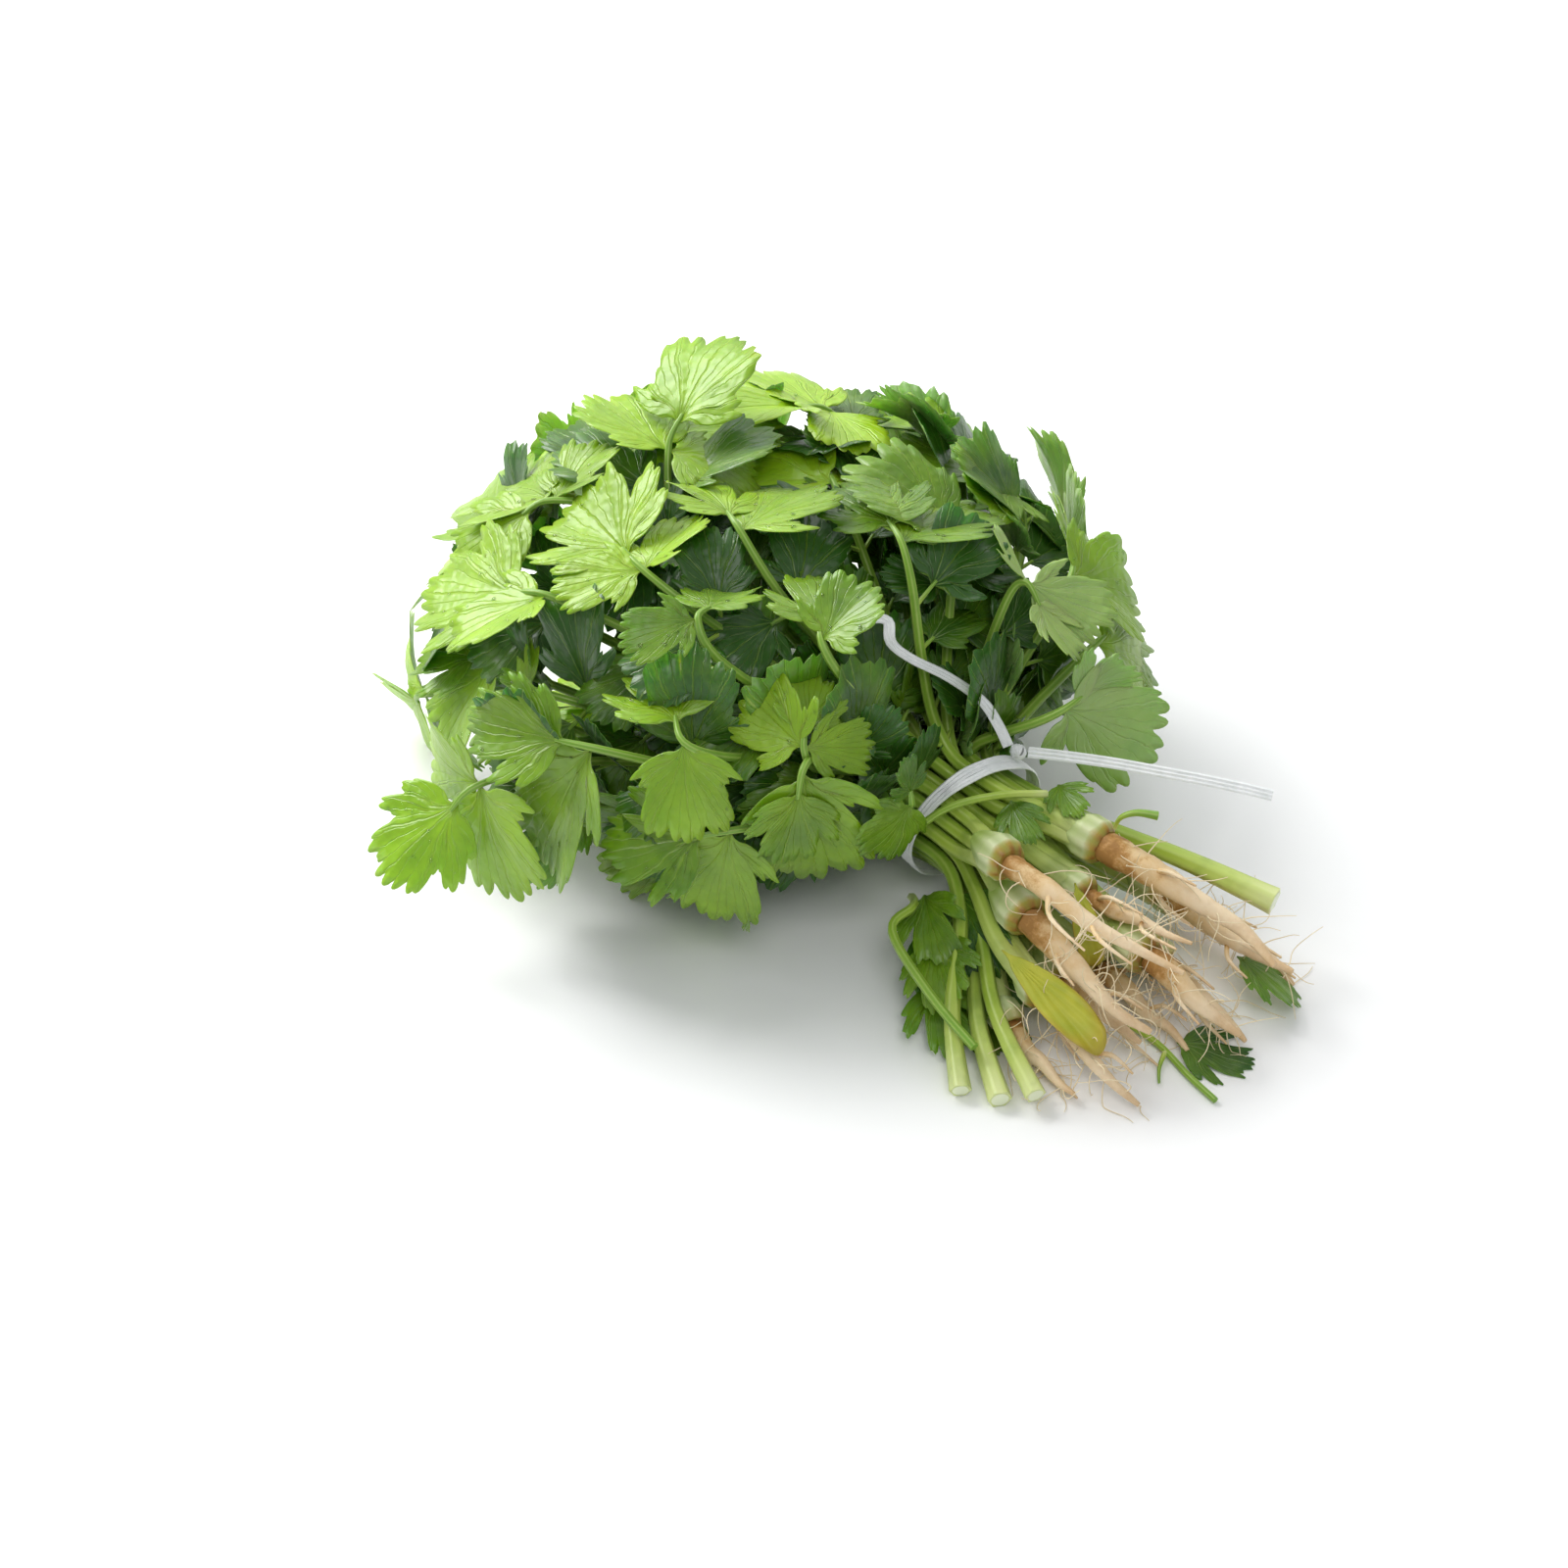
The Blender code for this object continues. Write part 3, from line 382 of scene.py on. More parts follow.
# Fronds set one by one on the side that shows: where the leaflets meet, each leaflet's tip, and 1
# or
# -1 for the upper or the under side outwards.
SHOWN_FRONDS = (
    ((-1, -62, 68), ((-1, -70, 40), (2, -60, 26)), 1),
    ((-112, -61, 100), ((-126, -91, 88), (-158, -58, 92), (-120, -38, 107)), 1),
    ((-67, -62, 100), ((-108, -58, 103), (-80, -84, 97), (-72, -40, 108)), 1),
    ((-82, -84, 93), ((-126, -100, 79), (-92, -112, 84)), 1),
    ((-41, -99, 76), ((-75, -117, 68), (-47, -106, 28)), 1),
    ((-20, -78, 78), ((-51, -62, 97), (-21, -98, 54)), 1),
    ((-69, -118, 53), ((-81, -150, 30), (-50, -128, 25), (-98, -122, 50)), 1),
    ((-35, -42, 98), ((-14, -52, 84), (-58, -36, 106)), 1),
    ((-40, -60, 95), ((-61, -42, 104), (-36, -82, 88)), 1),
    ((-60, -34, 105), ((-92, -26, 109), (-66, -2, 109)), 1),
    ((-33, 1, 101), ((-66, 11, 108), (-52, 40, 102)), 1),
    ((-22, -29, 95), ((-43, -7, 104), (-16, -10, 106)), 1),
    ((-12, 30, 87), ((8, 30, 70), (0, 50, 72), (-30, 36, 94)), -1),
    ((-14, 49, 80), ((-38, 76, 83), (-10, 78, 66)), 1),
    ((1, 50, 64), ((-18, 92, 57), (4, 80, 46)), 1),
    ((12, 20, 60), ((10, 44, 62), (19, 45, 33)), -1),
    ((-4, -56, 74), ((-16, -43, 88), (-22, -62, 84), (6, -38, 72)), 1),
    ((10, -34, 52), ((12, -34, 68), (10, -50, 40)), 1),
    ((-10, -76, 52), ((-34, -103, 42), (-10, -84, 20)), 1),
    ((-36, -84, 42), ((-58, -104, 40), (-40, -92, 14)), 1),
    ((-62, -88, 34), ((-92, -102, 26), (-60, -112, 18), (-74, -78, 14)), 1),
    ((-22, -58, 26), ((-34, -80, 10), (-8, -72, 16), (-44, -62, 12)), 1),
    ((-78, -100, 66), ((-112, -108, 56), (-86, -128, 60)), 1),
    ((-108, -92, 62), ((-144, -92, 60), (-122, -112, 40)), 1),
)

# Fronds under the head, which lie along the surface that the bunch rests on.
LOW_FRONDS = (
    ((-62, -46, 6), ((-100, -52, -4), (-70, -80, -4), (-64, -14, -4)), -1),
    ((-122, -28, 6), ((-158, -36, -4), (-128, -62, -4), (-126, 2, -4)), -1),
    ((-70, 40, 6), ((-108, 48, -4), (-76, 74, -4)), -1),
    ((-128, 40, 6), ((-162, 52, -4), (-132, 72, -4)), -1),
)

# Withered leaves caught among the roots: base, tip, width as a share of length.
YELLOW_LEAVES = (
    ((50, -31, 27), (88, -29, 21), 0.62),
    ((50, -5, 37), (65, -9, 19), 0.70),
)


def pair_up(wanted, places):
    """Gives each wanted point a place of its own, then swaps while the total distance falls."""
    free = list(range(len(places)))
    taken = []
    for point in wanted:
        nearest = min(free, key=lambda k: (places[k] - point).length_squared)
        free.remove(nearest)
        taken.append(nearest)

    def cost(i, k):
        return (places[k] - wanted[i]).length_squared

    improved = True
    while improved:
        improved = False
        for i in range(len(wanted)):
            for j in range(i):
                now = cost(i, taken[i]) + cost(j, taken[j])
                if cost(i, taken[j]) + cost(j, taken[i]) < now - 1e-6:
                    taken[i], taken[j] = taken[j], taken[i]
                    improved = True
    return taken


def tied_slots(count):
    """The stalks' places across the tie, packed like a honeycomb, nearest the middle first."""
    slots = []
    for row in range(-5, 6):
        for column in range(-5, 6):
            across = (column + 0.5 * (row % 2)) * STALK_PITCH
            slots.append(Vector((0, across, row * STALK_PITCH * math.sqrt(0.75))))
    return sorted(slots, key=lambda slot: (round(slot.length, 3), slot.y, slot.z))[:count]


def on_head(longitude, latitude, reach):
    """A point on the head's envelope, and the envelope's outward direction there."""
    lon = math.radians(longitude)
    lat = math.radians(latitude)
    way = Vector((-math.cos(lat) * math.cos(lon), -math.cos(lat) * math.sin(lon), math.sin(lat)))
    point = HEAD + Vector(w * r * reach for w, r in zip(way, HEAD_REACH))
    outward = Vector(w / r for w, r in zip(way, HEAD_REACH)).normalized()
    return point, outward


def lift_off_floor(points, radii):
    """Raises the points of a tube that would dip into the resting surface."""
    for point, radius in zip(points, radii):
        point.z = max(point.z, radius + 0.1)


def leaflet_edge(teeth, opening):
    """The outline of a leaflet of length 1 about its base, as (angle, radius): tooth tips and the
    notches between them, with a deep notch on each side of the middle lobe."""
    edge = []
    for k in range(2 * teeth - 1):
        angle = opening * ((k + 1) / teeth - 1)
        radius = math.cos(angle * math.radians(88) / opening) ** 0.38
        if k % 2:
            lobe_notch = (k + 1) // 2 in (teeth // 3, teeth - teeth // 3)
            radius *= 0.64 if lobe_notch else 0.90
        edge.append((angle, radius))
    return edge


def leaflet_point(leaf, angle, radius):
    """A point of a leaflet's arched, folded and waved blade, held above the resting surface."""
    x = radius * math.sin(angle) * leaf["width"]
    y = radius * math.cos(angle)
    lift = leaf["fold"] * abs(x) - leaf["arch"] * y * y + leaf["cup"] * x * x
    lift += leaf["wave"] * radius**2 * math.sin(3 * angle + leaf["phase"])
    spot = leaf["side"] * x + leaf["tip"] * y + leaf["face"] * lift
    spot = leaf["base"] + leaf["length"] * spot
    spot.z = max(spot.z, FLOOR)
    return spot


def leaflet_skin(leaf):
    """Corners and triangles of a leaflet: a fan about a point on its midrib."""
    rim = [(0.0, 0.0)] + leaflet_edge(leaf["teeth"], leaf["opening"])
    corners = [leaflet_point(leaf, 0.0, 0.42)] + [leaflet_point(leaf, a, r) for a, r in rim]
    count = len(rim)
    return corners, [(0, 1 + k, 1 + (k + 1) % count) for k in range(count)]


def new_leaflet(base, tip, face, length, draw):
    """The measures of one leaflet, with its own seeded arch, fold and waves. One that would point
    through the resting surface is turned to lie along it."""
    tip = tip.normalized()
    lowest = (FLOOR - base.z) / length
    if tip.z < lowest:
        tip.z = lowest
        tip.normalize()
    if base.z < 0.5 * length:
        face = face + Vector((0, 0, 1.5 if face.z >= 0 else -1.5))
    face = (face - tip * face.dot(tip)).normalized()
    return {
        "base": base,
        "tip": tip,
        "face": face,
        "side": tip.cross(face),
        "length": length,
        "teeth": 7,
        "width": draw.uniform(0.86, 1.08),
        "opening": math.radians(draw.uniform(62, 88)),
        "arch": draw.uniform(0.05, 0.30),
        "fold": draw.uniform(-0.05, 0.32),
        "cup": draw.uniform(-0.20, 0.10),
        "wave": draw.uniform(0.03, 0.09),
        "phase": draw.uniform(0, 2 * math.pi),
    }


def outward_at(point):
    """The head's outward direction at a point near its envelope."""
    return Vector((p - c) / r**2 for p, c, r in zip(point, HEAD, HEAD_REACH)).normalized()


def new_frond(row, draw, nudge):
    """A compound leaf: where its leaflets meet, and its leaflets. nudge says how far from its own
    place it may be moved to stay clear of the others."""
    node, tips, side_out = row
    shift = Vector(draw.uniform(-1, 1) for _ in range(3)) * 12 * nudge
    turn = Euler(Vector(draw.uniform(-1, 1) for _ in range(3)) * 0.5 * nudge)
    node = Vector(node)
    outward = outward_at(node)
    shown = row in SHOWN_FRONDS
    leaves = []
    ways = [Vector(tip) - node for tip in tips]
    node = node + shift
    node.z = max(node.z, 3.5)
    for k, way in enumerate(ways):
        way.rotate(turn)
        length = way.length * (1 - 0.1 * nudge)
        face = outward * side_out + Vector((0, 0, 0.25))
        face += Vector(draw.uniform(-0.4, 0.4) for _ in range(3))
        base = node + way.normalized() * (0.4 if k else 0.2 * length)
        base.z = max(base.z, 2)
        leaves.append(new_leaflet(base, way, face, length * (1 if k else 0.8), draw))
        leaves[-1]["teeth"] = 5 if k or not shown else 7
    return {"node": node, "tip": ways[0].normalized(), "leaves": leaves, "shown": shown}


def lower_stalk(foot, way, slot, foot_radius, draw, nudge):
    """Points and radii of a stalk from its foot in the crown to its place in the tie."""
    through = WAIST + slot + Vector((12, 0, 0))
    gap = (through - foot).length
    stray = Vector((0, draw.uniform(-1, 1), draw.uniform(-1, 1))) * gap * nudge
    leave = way * gap * draw.uniform(0.6, 1.2) + stray
    arrive = Vector((-gap * draw.uniform(0.5, 1.1), 0, 0))
    points = hermite(foot, leave, through, arrive, 3)
    radii = [foot_radius, foot_radius * 0.8, 2.05, STALK_RADIUS]
    lift_off_floor(points, radii)
    return points, radii


def upper_stalk(frond, slot, draw, nudge):
    """Points and radii of a stalk from its place in the tie to the base of its leaflets."""
    start = WAIST + slot + Vector((-6, 0, 0))
    reach = (frond["node"] - start).length
    leave = Vector((-1, 0.015 * slot.y, 0.015 * slot.z)) * reach * 0.8
    leave += Vector(draw.uniform(-1, 1) for _ in range(3)) * reach * 0.5 * nudge
    leaf = frond["leaves"][0]
    arrive = (frond["tip"] + leaf["face"] * draw.uniform(-0.3, 0.5)).normalized() * reach * 0.6
    points = hermite(start, leave, frond["node"], arrive, 4)
    steps = len(points) - 1
    radii = []
    for i in range(steps + 1):
        radii.append(STALK_RADIUS + (STALK_TIP_RADIUS - STALK_RADIUS) * i / steps)
    points.append(leaflet_point(leaf, 0.0, 0.1))
    radii.append(0.6)
    lift_off_floor(points, radii)
    return points, radii


def bare_end(slot, draw, nudge):
    """Points and radii of a stalk without leaflets, from its place in the tie."""
    start = WAIST + slot + Vector((-6, 0, 0))
    end = start + Vector((-32, slot.y * 0.5, slot.z * 0.5)) * (1 - 0.8 * nudge)
    end += Vector(draw.uniform(-1, 1) for _ in range(3)) * 4 * nudge
    return hermite(start, end - start, end, end - start, 2), [STALK_RADIUS, 1.8, 1.7]


def root_path(neck, tip, way, radius, draw):
    """Points and radii of a taproot that tapers and wanders a little."""
    gap = (tip - neck).length
    leave = -way * gap * 0.8
    arrive = Vector((1, draw.uniform(-0.5, 0.5), draw.uniform(-0.5, 0.1))) * gap * 0.8
    start = neck - way * GAP
    collar = start - way * 2.5
    points = [start] + hermite(collar, leave, tip, arrive, 4)
    for point in points[2:]:
        point += Vector((0, draw.uniform(-1, 1), draw.uniform(-1, 1))) * 0.7
    shape = (1.0, 1.08, 0.95, 0.72, 0.46, 0.22)
    radii = [radius * share for share in shape]
    lift_off_floor(points[2:], radii[2:])
    return points, radii


def rootlet_path(points, radii, draw):
    """Points and radii of a side root that leaves a taproot and trails along it."""
    i = draw.choice((1, 2, 3))
    start = points[i]
    along = (points[i + 1] - points[i - 1]).normalized()
    across = along.cross(Vector(draw.uniform(-1, 1) for _ in range(3))).normalized()
    length = draw.uniform(14, 26)
    end = start + along * length * 0.8 + across * length * 0.45
    bent = hermite(start, across * length, end, along * length, 2)
    taper = [radii[i] * 0.4, 0.8, 0.5]
    lift_off_floor(bent, taper)
    return bent, taper


def crown_path(neck, way, size):
    """Points and radii of a swollen crown, from its flat neck towards the stalks."""
    stations = ((0, 4.4), (2.5, CROWN_RADIUS), (6.5, CROWN_RADIUS), (11, 4.6), (15, 2.6))
    points = [neck + way * along * size for along, _ in stations]
    radii = [radius * size for _, radius in stations]
    for point in points[1:]:
        point.z = max(point.z, CROWN_RADIUS * size - 0.4)
    return points, radii


def yellow_leaves():
    """The measures of the withered leaves."""
    draw = random.Random(SEED)
    leaves = []
    for base, tip, width in YELLOW_LEAVES:
        way = Vector(tip) - Vector(base)
        leaf = new_leaflet(Vector(base), way, Vector((0.3, -0.3, 1)), way.length, draw)
        leaf["opening"] = math.radians(34)
        leaf["width"] = width
        leaf["arch"] = 0.12
        leaf["teeth"] = 5
        leaves.append(leaf)
    return leaves


def tube_skin(points, radii, extra=0.2, sides=5):
    """Corners and triangles of an open tube, a little fat, to test that pieces stay clear."""
    corners = []
    for i, (point, radius) in enumerate(zip(points, radii)):
        ahead = points[min(i + 1, len(points) - 1)] - points[max(i - 1, 0)]
        a = ahead.cross(Vector((0.31, 0.2, 0.93))).normalized()
        b = ahead.cross(a).normalized()
        for k in range(sides):
            turn = 2 * math.pi * k / sides
            out = a * math.cos(turn) + b * math.sin(turn)
            corners.append(point + out * (radius + extra) / math.sqrt(math.cos(math.pi / sides)))
    faces = []
    for i in range(len(points) - 1):
        for k in range(sides):
            p = i * sides + k
            q = i * sides + (k + 1) % sides
            faces += [(p, q, q + sides), (p, q + sides, p + sides)]
    return corners, faces


def band_skin(lean):
    """The inner face of one turn of the ribbon as triangles."""
    corners = []
    sides = 24
    for k in range(sides):
        turn = 2 * math.pi * k / sides
        round_it = Vector((0, math.sin(turn), math.cos(turn))) * (TIE_RADIUS - 0.6)
        middle = WAIST + round_it + Vector((lean * math.cos(turn - KNOT_TURN) + TIE_SHIFT, 0, 0))
        corners += [middle + Vector((across, 0, 0)) for across in (-2.2, 2.2)]
    faces = []
    for k in range(sides):
        p = 2 * k
        q = 2 * ((k + 1) % sides)
        faces += [(p, q, q + 1), (p, q + 1, p + 1)]
    return corners, faces


def merged(skins):
    """Several skins, each a list of corners and one of faces, as one."""
    corners, faces = [], []
    for spots, polygons in skins:
        faces += [tuple(len(corners) + i for i in polygon) for polygon in polygons]
        corners += spots
    return corners, faces


def leaf_skin(leaf):
    """Both faces of a leaflet as triangles, a little further apart than they are."""
    spots, fan = leaflet_skin(leaf)
    offsets = (leaf["face"] * -0.75, leaf["face"] * 0.75)
    return merged([([spot + offset for spot in spots], fan) for offset in offsets])


def frond_skin(frond, points, radii):
    """The whole of a frond beyond the tie as one set of triangles, a little fat."""
    return merged([tube_skin(points, radii)] + [leaf_skin(leaf) for leaf in frond["leaves"]])


class Clearance:
    """What is placed so far, and by which plant."""

    def __init__(self):
        self.placed = []

    def tree(self, skin):
        return BVHTree.FromPolygons([tuple(corner) for corner in skin[0]], skin[1])

    def is_free(self, owner, skin):
        tree = self.tree(skin)
        return not any(other != owner and tree.overlap(old) for other, old in self.placed)

    def add(self, owner, skin):
        self.placed.append((owner, self.tree(skin)))

    def first_free(self, owner, tries, make, skin_of):
        """What make gives on the first try that is clear of the other owners' pieces, placed; or
        None."""
        for attempt in range(tries):
            made = make(attempt)
            skin = skin_of(*made)
            if self.is_free(owner, skin):
                self.add(owner, skin)
                return made
        return None


def all_rows(count, draw):
    """The listed fronds and, on the rest of the head, fronds as far apart as they will go."""
    rows = list(SHOWN_FRONDS + LOW_FRONDS)
    nodes = [Vector(row[0]) for row in rows]
    while len(rows) < count:
        best = None
        for _ in range(60):
            longitude = draw.uniform(-150, 60)
            latitude = math.degrees(math.asin(draw.uniform(-0.25, 0.97)))
            spot, outward = on_head(longitude, latitude, draw.uniform(0.78, 1.0))
            room = min((spot - node).length for node in nodes)
            if best is None or room > best[0]:
                best = (room, longitude, outward, spot)
        _, longitude, outward, spot = best
        up = (Vector((0, 0, 1)) - outward * outward.z).normalized()
        right = up.cross(outward)
        heading = math.radians((90 if longitude < 0 else 270) + draw.uniform(-50, 50))
        tips = []
        for swing, length in ((0, 44), (1.25, 33), (-1.25, 33)):
            way = up * math.cos(heading + swing) + right * math.sin(heading + swing)
            way += outward * draw.uniform(-0.3, 0.3)
            tips.append(spot + way.normalized() * length * draw.uniform(0.85, 1.1))
        rows.append((spot, tips, 1))
        nodes.append(spot)
    return rows


def new_owners():
    """The plants and the cut stalks, each with its own share of the places in the tie."""
    owners = []
    for neck, tip, size, radius, count in PLANTS:
        owners.append({"neck": Vector(neck), "tip": Vector(tip), "size": size, "root": radius})
        owners[-1]["count"] = count
    for end, radius in CUT_STALKS:
        owners.append({"neck": Vector(end), "tip": None, "size": 0, "root": radius, "count": 1})
    total = sum(owner["count"] for owner in owners)
    slots = tied_slots(total)
    middle = sum((o["neck"] * o["count"] for o in owners), Vector()) / total
    homes = []
    for index, owner in enumerate(owners):
        home = Vector((0, (owner["neck"].y - middle.y) / 2.6, (owner["neck"].z - middle.z) / 1.1))
        homes += [(index, home)] * owner["count"]
    chosen = pair_up([home for _, home in homes], slots)
    for owner in owners:
        owner["slots"] = []
    for (index, _), slot in zip(homes, chosen):
        owners[index]["slots"].append(slots[slot])
    for owner in owners:
        middle = sum(owner["slots"], Vector()) / owner["count"]
        owner["middle"] = middle
        to_tie = (WAIST + Vector((12, 0, 0)) + middle - owner["neck"]).normalized()
        owner["way"] = (to_tie + Vector((-1.2, 0, 0))).normalized()
    return owners, slots


def place_loose(clear):
    """The loose pieces, which the plants have to stay clear of."""
    for route in (STRAY_STALK, BENT_STALK, THIN_STEM, FAR_TAIL, NEAR_TAIL):
        points = [Vector(point) for point in route]
        clear.add("loose", tube_skin(points, [1.6] * len(points)))
    for leaf in yellow_leaves():
        clear.add("loose", leaf_skin(leaf))
    for lean in TIE_LEANS:
        clear.add("loose", band_skin(lean))


def place_crowns(owners, clear, draw):
    """The crown and the taproot of each plant."""
    for index, owner in enumerate(owners):
        if owner["tip"] is None:
            continue
        owner["crown"] = crown_path(owner["neck"], owner["way"], owner["size"])
        base_way = (owner["crown"][0][1] - owner["crown"][0][0]).normalized()
        for attempt in range(200):
            tip = owner["tip"] + Vector(draw.uniform(-1, 1) for _ in range(3)) * attempt * 0.06
            path = root_path(owner["neck"], tip, base_way, owner["root"], draw)
            if clear.is_free(index, tube_skin(*path)):
                break
        owner["taproot"] = path
        owner["rootlets"] = []
        clear.add(index, tube_skin(*owner["crown"], sides=8))
        clear.add(index, tube_skin(*path))


def place_lower_stalks(owners, clear, draw):
    """Each stalk from its foot to its place in the tie, with the last owners' stalks first."""
    for index, owner in sorted(enumerate(owners), key=lambda pair: -pair[0]):
        owner["lower"] = []
        for slot in owner["slots"]:
            spread = (slot - owner["middle"]) * 0.45
            spread.x = 0
            foot = owner["neck"] + owner["way"] * 6 * owner["size"] + spread * owner["size"]
            foot_radius = 2.9 if owner["tip"] else owner["root"]

            def stalk(attempt):
                return lower_stalk(foot, owner["way"], slot, foot_radius, draw, attempt / 900)

            path = clear.first_free(index, 600, stalk, tube_skin)
            if path:
                owner["lower"].append((slot, path))


def place_fronds(owners, slots, clear, draw):
    """The rest of each stalk with its leaflets, or a bare end where no frond finds room."""
    rows = all_rows(len(slots), draw)
    wanted = []
    for row in rows:
        way = (Vector(row[0]) - WAIST).normalized()
        swing = math.degrees(way.angle(Vector((-1, 0, 0))))
        flat = Vector((0, way.y, way.z)).normalized()
        wanted.append(flat * STALK_PITCH * 3.6 * min(1.0, swing / 100))
    jobs = []
    for row, chosen in zip(rows, pair_up(wanted, slots)):
        for index, owner in enumerate(owners):
            for place, lower in owner["lower"]:
                if place == slots[chosen]:
                    jobs.append((row, place, index, lower))
    jobs.sort(key=lambda job: owners[job[2]]["tip"] is not None)
    bare = []
    for row, slot, index, lower in jobs:

        def grow(attempt):
            nudge = 1.5 * attempt / 600
            frond = new_frond(row, draw, nudge)
            return (frond, *upper_stalk(frond, slot, draw, nudge))

        grown_frond = clear.first_free(index, 600, grow, frond_skin)
        if grown_frond:
            frond, points, radii = grown_frond
            frond["stalk"] = (lower[0] + points, lower[1] + radii)
            owners[index].setdefault("fronds", []).append(frond)
        else:
            bare.append((index, slot, lower))
    for index, slot, lower in bare:
        path = clear.first_free(index, 200, lambda k: bare_end(slot, draw, k / 200), tube_skin)
        if path:
            stalk = (lower[0] + path[0], lower[1] + path[1])
            frond = {"leaves": [], "shown": False, "stalk": stalk}
            owners[index].setdefault("fronds", []).append(frond)


def place_rootlets(owners, clear, draw):
    """Up to two side roots on each taproot."""
    for index, owner in enumerate(owners):
        if owner["tip"] is None:
            continue
        for _ in range(60):
            path = rootlet_path(*owner["taproot"], draw)
            if clear.is_free(index, tube_skin(*path)):
                owner["rootlets"].append(path)
                clear.add(index, tube_skin(*path))
            if len(owner["rootlets"]) == 2:
                break


def lay_out():
    """Every plant with its crown, root and fronds, all clear of the other plants'."""
    draw = random.Random(SEED)
    owners, slots = new_owners()
    clear = Clearance()
    place_loose(clear)
    place_crowns(owners, clear, draw)
    place_lower_stalks(owners, clear, draw)
    place_fronds(owners, slots, clear, draw)
    place_rootlets(owners, clear, draw)
    return owners


owners = lay_out()

# ======================================================================== leaf blades
# Coriander leaflets: thin soft blades, fan-shaped and cut into three lobes with small round teeth.
# Each grows from its stalk, with fine veins that spread from its base.

BLADE_WALL = 0.36  # thickness of a blade
EDGE_THINNING = 0.55  # how much thinner it is at its edge
TEETH = 21  # round teeth along the edge of a leaflet
TOOTH_DEPTH = 0.12  # share of the way from the base to the edge
TOOTH_SWING = 0.06  # how unevenly the teeth are spaced
LOBE_DEPTH = 0.45  # of the two deep notches, as a share of the same way
SIDE_NOTCHES = ((0.17, 0.09), (0.74, 0.22))  # lesser notches: the share across, and the depth
VEIN_GROOVE = 0.011  # share of the blade's length
EDGE_RIPPLE = 0.05  # the same
FINE = (126, 6)  # steps across and along a blade on the side that shows
PLAIN = (72, 5)  # on other leaves
TWIG_LEAF = (51, 3)  # on the small ones inside the head


def blade_reach(leaf, share):
    """How far the blade's edge is from its base, over its length, at a share from -1 to 1 of the
    way across."""
    reach = np.cos(np.radians(88) * share) ** 0.38
    if leaf.get("whole"):
        return reach
    teeth = leaf["teeth"]
    at = 1 - 2 * (teeth - teeth // 3) / teeth
    beside = np.minimum(np.abs(share - at), np.abs(share + at)) * teeth
    deep = LOBE_DEPTH * (1 + 0.3 * math.sin(3 * leaf["phase"]))
    reach *= 1 - deep * np.clip(1 - beside, 0, 1) ** 1.2
    for place, depth in SIDE_NOTCHES:
        gap = np.abs(np.abs(share + 0.04 * math.sin(leaf["phase"])) - place)
        reach *= 1 - depth * np.clip(1 - 12 * gap, 0, 1)
    count = TEETH if teeth == 7 else TEETH - 4
    wobble = 0.25 * np.sin(5 * share + leaf["phase"])
    turn = math.pi * count * (share + TOOTH_SWING * wobble) / 2 + leaf["phase"]
    between = 1 - np.abs(np.cos(turn)) ** 0.5
    return reach * (1 - TOOTH_DEPTH * between * (1 - 0.5 * np.abs(share) ** 6))


def blade_skin(leaf, steps, wall=BLADE_WALL):
    """Corners, faces and marks of one leaflet: a closed thin blade on the measures that the solid
    has, with its veins pressed in a little."""
    across, along = steps
    share = np.linspace(-1, 1, across + 1)[:, None]
    out = np.linspace(0.0, 1, along + 1)[None, :] ** 0.85
    wedge = 0.50 + 0.50 * np.clip(out / 0.6, 0, 1) ** 1.5
    angle = share * leaf["opening"] * wedge
    radius = blade_reach(leaf, share) * (0.03 + 0.97 * out)
    x = radius * np.sin(angle) * leaf["width"]
    y = radius * np.cos(angle)
    lift = leaf["fold"] * np.abs(x) - leaf["arch"] * y * y + leaf["cup"] * x * x
    lift = lift + leaf["wave"] * radius**2 * np.sin(3 * angle + leaf["phase"])
    lift = lift + VEIN_GROOVE * radius * np.cos(math.pi * 6 * share) * (1 - 0.4 * out)
    lift = lift + EDGE_RIPPLE * radius**6 * np.sin(7 * share + 2 * leaf["phase"])
    side, tip, face = (np.array(leaf[key]) for key in ("side", "tip", "face"))
    spots = np.array(leaf["base"]) + leaf["length"] * (
        x[..., None] * side + y[..., None] * tip + lift[..., None] * face
    )
    spots[..., 2] = np.maximum(spots[..., 2], FLOOR)
    normal = np.cross(np.gradient(spots, axis=0), np.gradient(spots, axis=1))
    normal /= np.linalg.norm(normal, axis=2, keepdims=True) + 1e-9
    thin = normal * wall * (1 - EDGE_THINNING * out**3)[..., None] / 2
    corners = np.concatenate(((spots + thin).reshape(-1, 3), (spots - thin).reshape(-1, 3)))
    rows, columns = across + 1, along + 1
    here = (np.arange(across)[:, None] * columns + np.arange(along)[None, :]).ravel()
    top = np.stack((here, here + columns, here + columns + 1, here + 1), axis=1)
    half = rows * columns
    faces = np.concatenate((top, top[:, ::-1] + half))
    edge = list(range(0, across * columns, columns)) + list(range(across * columns, half - 1))
    edge += list(range(half - 1, columns - 1, -columns)) + list(range(columns - 1, 0, -1))
    edge = np.array(edge)
    ahead = np.roll(edge, -1)
    rim = np.stack((edge, edge + half, ahead + half, ahead), axis=1)
    faces = np.concatenate((faces, rim))
    flat = np.ones(half)
    marks = {
        "across": np.tile((share + 0 * out).ravel(), 2),
        "out": np.tile((out + 0 * share).ravel(), 2),
        "fresh": np.tile(flat * leaf["fresh"], 2),
        "under": np.concatenate((flat * 0, flat)),
    }
    return corners, faces, marks


